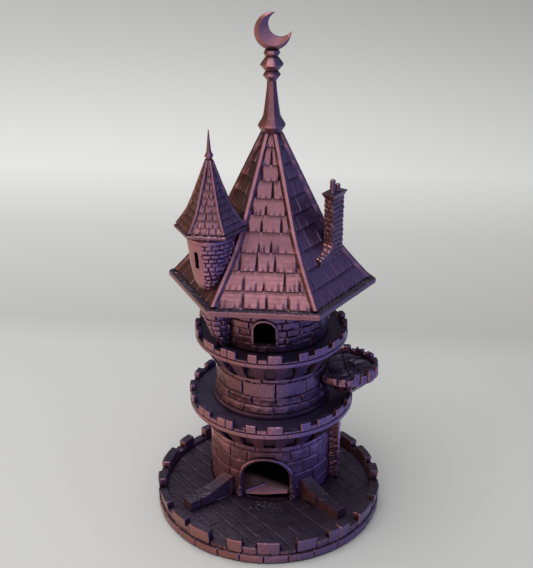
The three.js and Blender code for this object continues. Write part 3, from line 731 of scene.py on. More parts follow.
def gallery_upper():
    """The upper walk: pointed niches between its corbels."""
    low, high = WALK_2["foot"] + 0.6, WALK_2["rim"] - 0.9
    middle, reach = 120.2, 10.0
    heights = np.linspace(low, high, 12)
    halves = 4.3 * np.sqrt(1 - ((heights - middle) / reach) ** 2)
    outline = [*zip(-halves, heights), *zip(halves[::-1], heights[::-1])]
    niches = between_corbels(3.8, outline, MIDDLE_RADIUS + 0.5, 70)
    return gallery("gallery_upper_print", WALK_2, MIDDLE_RADIUS, MIDDLE_INSIDE, MIDDLE_HIGH[2], niches, 231)


def tower_middle():
    """The middle storey: big crowned blocks with deep joints over a plain plinth."""
    low, high = MIDDLE_LOW[2], MIDDLE_HIGH[2]
    courses = [
        (low + 3.4, 6.3, 12), (89.4, 10.7, 13), (96.2, 8.7, 10), (108.5, 24, 12), (120, 8, 12), (131, 0, 12),
    ]
    corners = [
        (MIDDLE_FOOT - 0.3, low, 0.2, 0, 3), (MIDDLE_FOOT, low + 0.6, 0.2, 0, 4),
        (MIDDLE_FOOT, low + 2.6, 0.2, 0, 2), (MIDDLE_FOOT - 1.2, low + 3.4, 0.6, 0, 14),
        (MIDDLE_RADIUS - 0.3, 92, 1, 0, 34), (MIDDLE_RADIUS - 0.5, 113, 0.8, 0, 18),
        (MIDDLE_RADIUS - 0.5, high, 0.3, 0, 2),
        (MIDDLE_INSIDE, high, 0, 0, 12), (MIDDLE_INSIDE, low, 0, 0, 2),
    ]
    relief = wall_relief(courses, MIDDLE_RADIUS, 251, joint=0.8, depth=1.2, pillow=0.12, shift=0.6,
                         lean=0.06, wobble=0.2, spread=0.15, crown=0.4)
    return stone_ring("tower_middle_print", corners, around(0.6), relief)


def tower_upper():
    """The top storey: irregular blocks, a ring under the eave and the window."""
    low, high = UPPER_LOW[2], UPPER_HIGH[2]
    courses = [
        (low, 5, 20), (141, 11, 17), (146.5, 2, 22), (152, 9, 16), (158.5, 4, 19), (165.5, 7, 24),
        (170.2, 3, 14), (high + 0.5, 0, 14),
    ]
    corners = [
        (UPPER_FOOT - 0.4, low, 0.8, 0, 26), (UPPER_FOOT + 0.4, 150, 0.8, 0, 28),
        (UPPER_RADIUS - 1.4, 166, 0.8, 0, 14), (UPPER_RADIUS - 0.6, high - 0.3, 0.8, 0, 1),
        (UPPER_RADIUS - 1.0, high, 0, 0, 3), (UPPER_INSIDE, high, 0, 0, 10), (UPPER_INSIDE, low, 0, 0, 2),
    ]
    relief = wall_relief(courses, UPPER_RADIUS - 3, 271, joint=0.7, depth=1.1, pillow=0.15, shift=0.9,
                         lean=0.08, wobble=0.6, spread=0.7, crown=0.5)
    piece = stone_ring("tower_upper_print", corners, around(0.6), relief)
    opening = arch_outline(WINDOW["x"], WINDOW["half"], WINDOW["sill"], WINDOW["spring"])
    return apply_boolean(piece, [pushed(0, opening, BEYOND_WALLS, 20)])


def upper_radius(z):
    """Outer radius of the top storey at a height."""
    radii = [UPPER_FOOT, UPPER_FOOT + 0.8, UPPER_RADIUS - 1, UPPER_RADIUS]
    return np.interp(z, [134, 150, 166, 173], radii)


def window_frame():
    """A thin moulding round the window and its sill."""
    w = WINDOW
    _, path, outward = arch_path(w["x"], w["half"] + 0.05, w["sill"], w["spring"], 0.5)
    outward[0], outward[-1] = (-1, -1), (1, -1)
    sill = np.linspace(w["x"] + w["half"], w["x"] - w["half"], 30)[1:-1]
    path = np.concatenate([path, np.stack([sill, 0 * sill + w["sill"]], axis=-1)])
    outward = np.concatenate([outward, np.tile((0.0, -1.0), (len(sill), 1))])
    across = np.array([0, 0.12, 0.5, 0.88, 1, 1, 0.5, 0])
    proud = np.array([0.55, 1, 1.1, 1, 0.5, 0, 0, 0])
    x = path[:, 0, None] + outward[:, 0, None] * across * w["band"]
    z = path[:, 1, None] + outward[:, 1, None] * across * w["band"]
    base = upper_radius(z) + GAP
    worn = 1 + 0.12 * rough(on_wall(x, z, base), 2.5, 291)
    return mesh_object("window_frame_print", on_wall(x, z, base + w["proud"] * proud * worn), True)


def upper_hull():
    """The top storey's outside as a plain drum with clearance, as a cutting tool."""
    heights = [UPPER_LOW[2] - 1, 150, 166, UPPER_HIGH[2] + 1]
    return turned("hull", [(float(upper_radius(z)) + GAP, z, 1) for z in heights])


def turret_corbel():
    """The tapering foot of the corner turret: small blocks, slanting in to the upper walk."""
    offset = np.array(TURRET) - AXIS
    far = np.hypot(*offset)
    rows = np.linspace(UPPER_LOW[2], UPPER_HIGH[2] - 0.1, 70)
    share = (rows - rows[0]) / (rows[-1] - rows[0])
    centre = AXIS + offset / far * (43.5 + (far - 43.5) * share)[:, None]
    radius = 6 + 6.2 * share**0.8
    bearing = around(2.5)
    away = at(bearing, 1.0, 0.0, (0.0, 0.0))[:, :2]
    grid = with_height(centre[:, None] + radius[:, None, None] * away, rows[:, None])
    length = 70.0
    courses = bricks(UPPER_LOW[2], UPPER_HIGH[2], 4.6, length, 7.5, 301)
    along = bearing / 360 * length + 0 * grid[..., 2]
    lift = blocks(grid, along, grid[..., 2], courses, length, 301, 0.7, 0.9, 0.4, 0.6, 0.08, 0.4)
    grid[..., :2] += (lift - 0.4 + 0.15 * rough(grid, 2.4, 311))[..., None] * away
    return apply_boolean(mesh_object("turret_corbel_print", grid), [upper_hull()])


def balcony_relief(points, bearing, height, radius):
    """Blocks in the band, a plain taper and a floor with a round medallion between worn swirls."""
    scale = math.radians(1) * BALCONY_RADIUS
    courses = [(BALCONY_BAND, 2, 17), (BALCONY_BAND + 15, 0, 17)]
    band = blocks(points, bearing * scale, height, courses, 360 * scale, 331, 0.8, 1.0, 0.4, 1.0, 0.1)
    band += 0.3 * rough(points, 2.2, 335)
    side = np.where(height > BALCONY_BAND, band, 0.25 * rough(points, 3, 341))
    x, y = points[..., 0] - BALCONY[0] + 2, points[..., 1] - BALCONY[1] + 2
    far = np.hypot(x, y)
    medallion = 0.4 * np.cos(far * 1.9) * (far < 9) + 0.9 * np.exp(-((far - 9.6) / 0.8) ** 2)
    swirl = np.sin(5 * np.arctan2(y, x) + far * 0.55 + 1.5 * noise(points, 7, 351))
    swirl += 0.5 * noise(points, 3.4, 353)
    carving = np.where(far < 10.6, medallion, 0.65 * swirl) + 0.12 * rough(points, 1.8, 357)
    return np.where((radius < BALCONY_RADIUS - 3.4) & (height > 101), carving, side)


def balcony():
    """A round balcony on a tapering corbel, its merlons on the far side only."""
    radius, top = BALCONY_RADIUS - 0.5, BALCONY_HIGH[2]
    inner = radius - 2.8
    base = BALCONY_FLOOR - 1.8
    merlons = [(23 + 26 * k, 15.6) for k in range(7)]

    def squeeze(bearing, height):
        index, off, width = nearest_merlon(bearing, merlons)
        on = np.abs(off) < width / 2
        full = top - 0.9 * chance(index, 361)
        behind = smooth(np.abs((bearing - 102 + 180) % 360 - 180), 84, 92)
        low = BALCONY_CRENEL + 0.8 * chance(index, 363) - 2.0 * behind
        share = (np.where(on, full, low) - base) / (top - base)
        return np.where(height > base, base + (height - base) * share, height)

    corners = [
        (9, BALCONY_LOW[2], 0, 0, 1), (9.6, BALCONY_LOW[2] + 0.4, 0.6, 0, 22),
        (radius - 1.4, BALCONY_BAND - 0.4, 1, 0, 2), (radius - 0.2, BALCONY_BAND + 0.2, 0.4, 0, 2),
        (radius, BALCONY_BAND + 1, 1, 0, 14), (radius, top - 0.4, 1, 0.2, 1),
        (radius - 0.4, top, 0.8, 0.8, 5), (inner + 0.4, top, -0.8, 0.8, 1), (inner, top - 0.4, -1, 0.2, 6),
        (inner, BALCONY_FLOOR, 0, 0, 1), (inner - 0.4, BALCONY_FLOOR, 0, 1, 38),
        (0.4, BALCONY_FLOOR, 0, 1, 1),
    ]
    bearings = around(1.2, merlon_edges(merlons), 0.4)
    piece = stone_ring("balcony_print", corners, bearings, balcony_relief, BALCONY, squeeze, False)
    slot = [(-1.2, 92.6), (1.2, 92.6), (1.2, 98.0), (-1.2, 98.0)]
    slots = [pushed(-100 + 20 * k, slot, 13.8, 30.8, BALCONY) for k in range(10)]
    wall = turned("wall", [
        (MIDDLE_FOOT + GAP, 80, 1), (MIDDLE_FOOT - 0.5, 84.3, 1), (MIDDLE_RADIUS + GAP, 92.3, 1),
        (MIDDLE_RADIUS + GAP, 115, 1),
    ])
    return apply_boolean(piece, [joined(slots), wall])


# ---- Shingled roofs ----

class Shingles:
    """Rows of worn shingles on a six-sided roof with a raised beam along each hip.

    levels are the heights of the rows and profile(height) is the corner radius. beam is a hip beam's half
    width, the width of its skirt and how proud it stands. step is how far a row's lower edge stands out,
    notch the depth of the splits, and pitch the width of a shingle in the lowest and highest row.
    Each face has a column on its hip, one at each beam's foot, and per_face columns between the beams."""

    def __init__(self, levels, profile, per_face, rings_per_row, beam, step, notch, pitch, seed, centre):
        self.levels = np.array(levels, float)
        self.profile = profile
        self.rings_per_row = rings_per_row
        self.beam_half, self.beam_skirt, self.beam_proud = beam
        self.step = step
        self.notch = notch
        self.pitch = pitch
        self.seed = seed
        self.centre = np.array(centre)
        self.share = np.concatenate([[-1, -1], np.linspace(-1, 1, per_face), [1]])
        self.kind = np.concatenate([[0, 1], np.full(per_face, 2), [1]])
        self.face = np.repeat(np.arange(6), len(self.share))
        self.on_hip = np.tile(self.kind == 0, 6)
        self.on_beam = np.tile(self.kind < 2, 6)
        angle = np.radians(60.0 * self.face)
        self.normal = np.stack([np.sin(angle), -np.cos(angle)], axis=-1)
        self.side = np.stack([np.cos(angle), np.sin(angle)], axis=-1)

    def across(self, side):
        """Millimetres across the faces for every column of a ring with this side length."""
        beam = min(self.beam_half, 0.16 * side + 0.1)
        skirt = min(self.beam_skirt, 0.12 * side + 0.1)
        foot = side / 2 - beam
        return np.tile(np.choose(self.kind, [-side / 2, self.share * foot, self.share * (foot - skirt)]), 6)

    def laid(self, radius, across, out, height):
        """Points from corner radii, places across the faces, outward offsets and heights."""
        across = across - np.where(self.on_hip, out * math.tan(math.radians(30)), 0)
        reach = np.asarray(radius * math.cos(math.radians(30)) + out)
        flat = self.centre + reach[..., None] * self.normal + across[..., None] * self.side
        return with_height(flat, height)

    def ring(self, radius, height):
        """One plain ring at a corner radius and a height."""
        return self.laid(radius, self.across(radius), 0.0, height)

    def circle(self, radius, height, like):
        """A round ring with the columns at the bearings of another ring."""
        return with_height(self.centre + radius * unit(like[:, :2] - self.centre), height)

    def splits(self, row, across, part):
        """Depth of the splits between shingles and of cracks in them, and each shingle's number."""
        face, seed = self.face, self.seed
        pitch = np.interp(row, [0, len(self.levels) - 2], self.pitch)
        place = across / pitch + chance(row, face, seed)

        def border(index):
            return index + 0.45 * (chance(row, face, index.astype(np.int64), seed + 1) - 0.5)

        shingle = block_at(place, border)
        cut = 0.0
        for index in (shingle, shingle + 1):
            reach = 0.35 + 0.65 * chance(row, face, index.astype(np.int64), seed + 2)
            open_ = np.clip(1 - part / reach, 0, 1)
            wide = (0.45 + 0.55 * open_) * self.notch
            off = (place - border(index)) * pitch
            wide = np.where(off > 0, 1.5 * wide, 0.6 * wide)
            cut = np.maximum(cut, np.clip(1 - np.abs(off) / wide, 0, 1) * open_**0.3)
        crack_place = across / (pitch * 0.37) + 3.1 * chance(row, face, seed + 3)
        crack = np.round(crack_place)
        key = crack.astype(np.int64)
        reach = 0.8 * chance(row, face, key, seed + 4) - 0.3
        open_ = np.clip(1 - part / np.maximum(reach, 0.01), 0, 1)
        lean = (chance(row, face, key, seed + 5) - 0.5) * 0.7
        off = np.abs(crack_place - crack - lean) * pitch * 0.37
        cut = np.maximum(cut, 0.6 * np.clip(1 - off / (0.75 * self.notch), 0, 1) * open_**0.6)
        return cut, shingle.astype(np.int64)

    def edge(self, row, across):
        """How far each shingle's lower edge sits above or below the line of its row."""
        _, shingle = self.splits(row, across, 0.0)
        return self.step * 0.4 * (chance(row, self.face, shingle, self.seed + 8) - 0.5)

    def course(self, row, part):
        """One ring of a row of shingles, part of the way up it."""
        low, high = self.levels[row], self.levels[row + 1]
        flat_z = low + (high - low) * part
        across = self.across(float(self.profile(flat_z)))
        cut, shingle = self.splits(row, across, part)
        warp = self.edge(row, across) * (1 - part) ** 2
        if row + 2 < len(self.levels):
            warp += self.edge(row + 1, across) * part**2
        z = flat_z + np.where(self.on_beam, 0, warp) * (row > 0 or part > 0)
        thick = 0.75 + 0.5 * chance(row, self.face, shingle, self.seed + 6)
        lift = self.step * (1 - part) * thick - self.notch * cut
        lift = np.where(self.on_beam, self.beam_proud, lift)
        tilt = (self.profile(z + 0.5) - self.profile(z - 0.5)) * math.cos(math.radians(30))
        normal = 1 / np.sqrt(1 + tilt**2)
        return self.laid(self.profile(z), across, lift * normal, z - lift * tilt * normal)

    def slope(self):
        """All the rings of the shingled slope, from the bottom row up."""
        parts = np.linspace(0, 1, self.rings_per_row)
        grid = np.array([self.course(row, part) for row in range(len(self.levels) - 1) for part in parts])
        worn = 0.07 * rough(grid, 2.4, self.seed + 7)
        worn += 0.05 * noise(grid * (1, 1, 0.25), 1.2, self.seed + 9)
        grid[..., :2] += worn[..., None] * unit(grid[..., :2] - self.centre)
        return grid


def flare_radius():
    """The main roof's corner radius as a function of height: straight above, flaring to the eave."""
    t = np.linspace(0, 1, 60)[:, None]
    a, b, c, d = np.array([(34.0, 225.0), (42.0, 208.0), (60.0, 189.5), SHINGLE_FOOT])
    curve = ((1 - t) ** 3 * a + 3 * t * (1 - t) ** 2 * b + 3 * t**2 * (1 - t) * c + t**3 * d)[::-1]
    radii = np.append(curve[:, 0], ROOF_TOP_RADIUS)
    heights = np.append(curve[:, 1], ROOF_TOP)
    return lambda z: np.interp(z, heights, radii)


def roof_shell():
    """The main roof: shingles outside, an eave board, a hollow inside and the plug that seats it."""
    profile = flare_radius()
    roof = Shingles(SHINGLE_ROWS, profile, 130, 8, ROOF_BEAM, 0.8, 1.15, ROOF_PITCH, 401, AXIS)
    ledge = rings([
        (EAVE_RADIUS - 4, SOFFIT, 0, 3), (EAVE_RADIUS - 0.5, SOFFIT, 0, 1),
        (EAVE_RADIUS, SOFFIT + 0.4, 0.2, 4), (EAVE_RADIUS, EAVE_Z - 0.6, 0.2, 1),
        (EAVE_RADIUS - 0.3, EAVE_Z - 0.1, 0.8, 7), (SHINGLE_FOOT[0] + 0.9, SHINGLE_FOOT[1] - 0.7, 0.8, 1),
    ])
    eave = np.array([roof.ring(radius, z) for radius, z, _ in ledge])
    eave[..., 2] += (0.4 * rough(eave, 2.0, 421) + 0.3 * noise(eave, 1.1, 425)) * ledge[:, 2, None]
    plug, shell, ceiling, peg, peg_depth = UPPER_INSIDE - 0.4, 6.4, SOFFIT + 3.2, 2.5, 11
    hollow = [roof.ring(ROOF_TOP_RADIUS, 262.0)]
    hollow += [roof.ring(float(profile(z)) - shell, z) for z in (250, 225, 205, 192, 184)]
    hollow += [roof.ring(EAVE_RADIUS - 12, ceiling)]
    seat = [(plug - 3, ceiling), (plug - 3, ROOF_LOW[2]), (plug, ROOF_LOW[2]), (plug, SOFFIT)]
    seat = [roof.circle(radius, z, eave[0]) for radius, z in seat]
    socket = [roof.circle(peg, z, eave[0]) for z in (ROOF_TOP, ROOF_TOP - peg_depth)]
    return mesh_object("roof_shell_print", np.concatenate([hollow, seat, eave, roof.slope(), socket]))


def roof_hull(shrink=0.6):
    """The main roof's outside as a plain block, as a cutting tool."""
    profile = flare_radius()
    roof = Shingles([0, 1], profile, 2, 2, ROOF_BEAM, 1, 1, ROOF_PITCH, 0, AXIS)
    heights = (179, 182, 187, 191, 196, 203, 212, 225, ROOF_TOP - 1)
    levels = [(EAVE_RADIUS - 3, SOFFIT - 12), *((float(profile(z)) - shrink, z) for z in heights)]
    return mesh_object("hull", np.array([roof.ring(radius, z) for radius, z in levels]))


def turret_relief(points, bearing, height, _):
    """Small bricks, plain plaster on the left of the slit and smooth rings under the eave."""
    length = 360 * math.radians(1) * 16
    courses = bricks(176, 219, 3.3, length, 5.6, 441)
    along = bearing / 360 * length
    wall = blocks(points, along, height, courses, length, 441, 0.55, 0.75, 0.45, 0.6, 0.1, 0.25)
    turn = (bearing + 180) % 360 - 180
    bare = np.clip(smooth(turn, -20, -12) + smooth(-turn, 110, 130), 0, 1)
    plaster = 0.2 + 0.1 * rough(points, 3, 451)
    bands = 0.9 * np.exp(-((height - 221.2) / 1.3) ** 4) - 0.6 * smooth(height, 222.6, 223.2)
    bands += 0.5 * (height > 223) * noise(points, 1.6, 457)
    lift = np.where(height < 219, bare * wall + (1 - bare) * plaster, bands + 0.1)
    return lift + 0.08 * noise(points, 1.2, 455)


def turret_body():
    """The corner turret's wall, standing on the roof, with a slit window."""
    corners = [
        (6.5, 180.6, 1, 0, 6), (10.0, 184, 1, 0, 7), (12.0, 188.6, 1, 0, 16), (14.3, 199, 1, 0, 16),
        (15.3, 209, 1, 0, 12), (16.4, 217, 1, 0, 14), (16.8, TURRET_BODY_TOP - 0.1, 1, 0, 1),
        (15.9, TURRET_BODY_TOP, 0, 0, 1),
    ]
    piece = stone_ring("turret_body_print", corners, around(1.6), turret_relief, TURRET, None, False)
    outline = [(-1.7, 201.0), (1.7, 201.0), (1.7, 213.5), (-1.7, 213.5)]
    slit = pushed(SLIT_BEARING, outline, 11.0, 22.0, TURRET)
    return apply_boolean(piece, [slit, roof_hull()])


def turret_roof():
    """The corner turret's shingled cap with its eave board."""
    levels = [229.5, 233.0, 237.4, 241.9, 246.5, 251.1, 255.8, 260.5, 265.2, 270, TURRET_TOP]
    heights = [229.5, 235.5, 241, 247.6, 260.5, TURRET_TOP]
    radii = [TURRET_EAVE_RADIUS - 2.3, 18.7, 15.2, 12.3, 7.2, 1.9]
    cap = Shingles(levels, lambda z: np.interp(z, heights, radii), 56, 5, (0.6, 1.1, 0.9), 0.4, 0.6,
                   (5.2, 3.0), 461, TURRET)
    edge, top = TURRET_EAVE_RADIUS, TURRET_EAVE
    board = rings([
        (edge - 5, TURRET_BODY_TOP + GAP, 0, 2), (edge - 4, top - 1.9, 0.6, 2),
        (edge - 0.5, top - 1.9, 0, 1), (edge, top - 1.5, 0, 2), (edge, top - 0.3, 0, 1),
        (edge - 0.3, top, 1, 3), (edge - 2.0, top + 0.6, 1, 1),
    ])
    eave = np.array([cap.ring(radius, z) for radius, z, _ in board])
    eave[..., 2] += board[:, 2, None] * 0.3 * rough(eave, 1.6, 471)
    piece = mesh_object("turret_roof_print", np.concatenate([eave, cap.slope()]))
    return apply_boolean(piece, [roof_hull()])


def octagon(name, half_widths, centre):
    """A spindle of eight flats, from half widths across the flats and their heights."""
    rows = rings([
        (half / math.cos(math.pi / 8), z, max(1, int(after - z)))
        for (half, z), (_, after) in zip(half_widths, half_widths[1:] + half_widths[-1:])
    ])
    bearings = np.array([22.5 + 45 * k + off for k in range(8) for off in (-1.5, 1.5)])
    return mesh_object(name, at(bearings, rows[:, 0, None], rows[:, 1, None], centre))


def turret_spire():
    """The beaded spike on the turret's cap."""
    z = TURRET_TOP + GAP
    widths = [(1.7, z), (2.0, z + 0.6), (2.9, z + 2.6), (1.9, z + 4.6), (1.5, z + 6), (0.3, z + 20.2)]
    return octagon("turret_spire_print", widths, TURRET)


def chimney_frame():
    """Unit vectors in plan along the chimney's long and short sides."""
    along = np.array((math.cos(CHIMNEY_BEARING), math.sin(CHIMNEY_BEARING)))
    return along, np.array((-along[1], along[0]))


def chimney_stack():
    """A brick stack with a flared cap and a breast that runs along the roof from its foot."""
    along, across = chimney_frame()
    cap = low_high("chimney_stack")[1][2]
    half_long, half_wide = CHIMNEY_SIZE[0] / 2 - 0.3, CHIMNEY_SIZE[1] / 2 - 0.3
    rows = rings([
        (CHIMNEY_FOOT, 0, 110), (cap - 4.6, 0, 3), (cap - 3.2, 0.2, 4), (cap - 0.4, 1.6, 1), (cap, 1.6, 1),
    ])
    z, flare = rows[:, 0, None], rows[:, 1, None]
    end, face = rings([(-1, -1, 28), (1, -1, 15), (1, 1, 28), (-1, 1, 15)]).T
    long, wide = end * (half_long + flare), face * (half_wide + flare)
    grid = with_height(CHIMNEY + long[..., None] * along + wide[..., None] * across, z)
    on_end, on_face = np.abs(end) > 0.999, np.abs(face) > 0.999
    courses = bricks(CHIMNEY_FOOT, cap - 4, 3.5, 60, 5.2, 501)
    places = np.where(on_end, wide, long) + 30
    lift = blocks(grid, places, grid[..., 2], courses, 60.0, 501, 0.45, 0.5, 0.1, 0.35, 0.06, 0.3, crown=0.4)
    lift = lift + 0.12 * rough(grid, 2, 511) + np.where(end < -0.99, 0.12 * rough(grid, 1.8, 515), 0)
    lift *= z < cap - 4
    grid[..., :2] += (lift * np.where(on_end, np.sign(end), 0))[..., None] * along
    grid[..., :2] += (lift * np.where(on_face, np.sign(face), 0))[..., None] * across
    stack = mesh_object("chimney_stack_print", grid)
    apply_boolean(stack, [chimney_breast(half_long, half_wide)], "UNION")
    return apply_boolean(stack, [roof_hull()])


def chimney_breast(half_long, half_wide):
    """A tapering brick block along the roof, its top leaning with the slope and swept up to the stack."""
    along, across = chimney_frame()
    length = 18
    rows = rings([(0, 40), (length, 1)])
    side, up = rings([(-1, 0, 14), (-1, 1, 16), (1, 1, 14), (1, 0, 4)]).T
    wide = side * half_wide - rows / length
    tops = 202.2 + 0.15 * wide + 8 * np.exp(-rows / 6)
    long = (2.2 - half_long - rows) + 0 * wide
    flat = CHIMNEY + long[..., None] * along + wide[..., None] * across
    grid = with_height(flat, CHIMNEY_FOOT + (tops - CHIMNEY_FOOT) * up)
    on_top = np.isclose(up, 1)
    places = np.where(on_top, wide + 20, grid[..., 2])
    courses = bricks(-30, 30, 3.6, 60, 4.4, 521)
    lift = blocks(grid, places, long, courses, 60.0, 521, 0.45, 0.45, 0.1, 0.3, 0.05, 0.4, crown=0.4)
    lift += 0.12 * rough(grid, 1.8, 525)
    grid[..., 2] += lift * on_top
    push = np.sign(side) * (np.abs(side) > 0.99)
    grid[..., :2] += (lift * push * 0.6)[..., None] * across
    return mesh_object("breast", grid)


def chimney_pot(name, along_by, across_by, radius, height):
    """A round pot with a foot ring and a domed top, on the stack's cap."""
    along, across = chimney_frame()
    centre = CHIMNEY + along_by * along + across_by * across
    z = low_high("chimney_stack")[1][2] + GAP
    top = z + height
    return turned(name, [
        (radius * 1.12, z, 1), (radius * 1.12, z + 0.8, 1), (radius, z + 1.2, 3), (radius, top - 1.3, 1),
        (radius * 0.92, top - 0.7, 1), (radius * 0.7, top - 0.25, 1), (radius * 0.35, top, 1),
    ], 12, centre)


# ---- Finial ----

def finial_spindle():
    """The octagonal spindle with its beads, and the peg below it."""
    low, high = SPINDLE_LOW[2], SPINDLE_HIGH[2]
    widths = [
        (2.0, low), (2.0, SPINDLE_FOOT), (6.2, SPINDLE_FOOT + 0.01), (9.3, 289.9), (6.9, 294.1), (5.8, 296.6),
        (4.7, 304.2), (3.4, 315.2), (3, 320.7), (5.8, 324.4), (4.1, 327.1), (7.7, 331.5), (4, 336.8),
        (5.4, 339.1), (4.6, high),
    ]
    return octagon("finial_spindle_print", widths, AXIS)


def crescent_moon():
    """A crescent with a ridge between its two bevels, its horns up and to the right."""
    apart = np.hypot(*(BITE - MOON))
    toward = math.atan2(*(BITE - MOON)[::-1])
    spread = math.acos((apart**2 + MOON_RADIUS**2 - BITE_RADIUS**2) / (2 * apart * MOON_RADIUS))
    inner_spread = math.acos((apart**2 + BITE_RADIUS**2 - MOON_RADIUS**2) / (2 * apart * BITE_RADIUS))
    share = np.linspace(0.004, 0.996, 90)
    outer_angle = toward + spread + share * (2 * math.pi - 2 * spread)
    inner_angle = toward + math.pi - inner_spread + share * 2 * inner_spread
    outer = MOON + MOON_RADIUS * np.stack([np.cos(outer_angle), np.sin(outer_angle)], axis=-1)
    inner = BITE + BITE_RADIUS * np.stack([np.cos(inner_angle), np.sin(inner_angle)], axis=-1)
    body = np.hypot(*(outer - inner).T)
    ridge_share = np.clip(3.3 / np.maximum(body, 0.1), 0, 0.42)[:, None]
    ridge = outer + (inner - outer) * ridge_share
    depth = 2.6 * smooth(body, -1.0, 5.0)
    section = [(outer, 0.45), (ridge, 1.0), (inner, 0.35), (inner, -0.35), (ridge, -1.0), (outer, -0.45)]
    grid = [np.stack([flat[:, 0], AXIS[1] + side * depth, flat[:, 1]], axis=-1) for flat, side in section]
    return mesh_object("crescent_moon_print", np.stack(grid, axis=1))


# ---- Materials ----

def new_material(name):
    """An empty material: itself, its node tree and its shader."""
    material = bpy.data.materials.new(name)
    material.use_nodes = True
    return material, material.node_tree, material.node_tree.nodes["Principled BSDF"]


def node(tree, kind, vector=None, **inputs):
    """A new node with its inputs set, and its vector input linked where one is given."""
    made = tree.nodes.new(kind)
    for name, value in inputs.items():
        made.inputs[name.replace("_", " ")].default_value = value
    if vector:
        tree.links.new(vector, made.inputs["Vector"])
    return made


def math_node(tree, operation, *values):
    """The result of a mathematical operation on numbers and sockets."""
    made = tree.nodes.new("ShaderNodeMath")
    made.operation = operation
    for slot, value in zip(made.inputs, values):
        if isinstance(value, (int, float)):
            slot.default_value = value
        else:
            tree.links.new(value, slot)
    return made.outputs[0]


def product(tree, *values):
    """The product of sockets and numbers."""
    total = values[0]
    for value in values[1:]:
        total = math_node(tree, "MULTIPLY", total, value)
    return total


def mapped(tree, value, source, target=(0.0, 1.0), interpolation="LINEAR"):
    """A socket's value carried from one range to another and kept inside it."""
    made = tree.nodes.new("ShaderNodeMapRange")
    made.interpolation_type = interpolation
    for name, number in zip(("From Min", "From Max", "To Min", "To Max"), (*source, *target)):
        made.inputs[name].default_value = number
    tree.links.new(value, made.inputs["Value"])
    return made.outputs["Result"]


def ramp(tree, factor, stops):
    """A colour that changes with a factor, from (place, colour) stops."""
    made = tree.nodes.new("ShaderNodeValToRGB")
    elements = made.color_ramp.elements
    while len(elements) < len(stops):
        elements.new(0.5)
    for element, (place, colour) in zip(elements, stops):
        element.position = place
        element.color = (*colour, 1)
    tree.links.new(factor, made.inputs[0])
    return made.outputs[0]


def mixed(tree, factor, first, second, blend="MIX"):
    """Two colours mixed; each value is a socket, a number or a colour."""
    made = tree.nodes.new("ShaderNodeMix")
    made.data_type = "RGBA"
    made.blend_type = blend
    for slot, value in ((made.inputs[0], factor), (made.inputs[6], first), (made.inputs[7], second)):
        if isinstance(value, (int, float)):
            slot.default_value = value
        elif isinstance(value, tuple):
            slot.default_value = (*value, 1)
        else:
            tree.links.new(value, slot)
    return made.outputs[2]


def times(tree, colour, *factors):
    """A colour multiplied by others or by numbers, one after the other."""
    for factor in factors:
        colour = mixed(tree, 1.0, colour, factor, "MULTIPLY")
    return colour


def bumped(tree, height, strength, distance, below=None):
    """Surface normals bent by a height, on top of those of another bump."""
    made = node(tree, "ShaderNodeBump", Strength=strength, Distance=distance)
    tree.links.new(height, made.inputs["Height"])
    if below:
        tree.links.new(below, made.inputs["Normal"])
    return made.outputs[0]


def axes(tree, vector):
    """The X, Y and Z sockets of a vector."""
    made = node(tree, "ShaderNodeSeparateXYZ", vector)
    return made.outputs["X"], made.outputs["Y"], made.outputs["Z"]


def arch_shadow(tree, where):
    """1 on the lip of the ramp and almost 0 behind a slanting line just inside the arch."""
    x, y, _ = axes(tree, where)
    depth = math_node(tree, "MULTIPLY_ADD", x, 0.43, y)
    return mapped(tree, depth, (-0.010, -0.005), (1.0, 0.01))


def two_colours(tree, where, sideways):
    """Copper to the left, rose to the front and violet to the right, in drifting patches."""
    patch = node(tree, "ShaderNodeTexNoise", where, Scale=22.0, Detail=2.0)
    turn = math_node(tree, "MULTIPLY_ADD", sideways, 0.5, 0.5)
    drift = math_node(tree, "MULTIPLY_ADD", patch.outputs["Fac"], 0.16, -0.08)
    return ramp(tree, math_node(tree, "ADD", turn, drift), [
        (0.02, (0.270, 0.098, 0.072)), (0.32, (0.260, 0.100, 0.088)), (0.49, (0.255, 0.110, 0.135)),
        (0.57, (0.180, 0.088, 0.150)), (0.70, (0.105, 0.070, 0.190)), (0.98, (0.090, 0.066, 0.205)),
    ])


def level_share(tree, upward):
    """How much of a surface is level: all of a marked floor and whatever faces up."""
    facing = mapped(tree, upward, (0.82, 0.97), interpolation="SMOOTHSTEP")
    marked = tree.nodes.new("ShaderNodeAttribute")
    marked.attribute_name = "flat"
    return math_node(tree, "MAXIMUM", product(tree, marked.outputs["Fac"], 0.92), facing)


def worn_edges(tree, colour, reach):
    """A colour with painted shade darkening its grooves and crevices and a painted highlight lightening its
    raised edges.
    """
    pointed = tree.nodes.new("ShaderNodeNewGeometry").outputs["Pointiness"]
    # painted shade in grooves and a painted highlight on raised edges, from how hollow or pointed the mesh is
    colour = times(tree, colour, mapped(tree, pointed, (0.44, 0.5), (0.2, 1.0)))
    glint = times(tree, colour, GLINT)
    colour = mixed(tree, mapped(tree, pointed, (0.51, 0.58), (0.0, 0.5)), colour, glint)
    # painted shade: ambient occlusion pulls the colour towards the dark shade colour in crevices
    crevice = node(tree, "ShaderNodeAmbientOcclusion", Distance=reach)
    crevice.samples = 6
    open_share = mapped(tree, crevice.outputs["AO"], (0.2, 0.8))
    return mixed(tree, open_share, PAINTED_SHADE_COLOUR, colour)


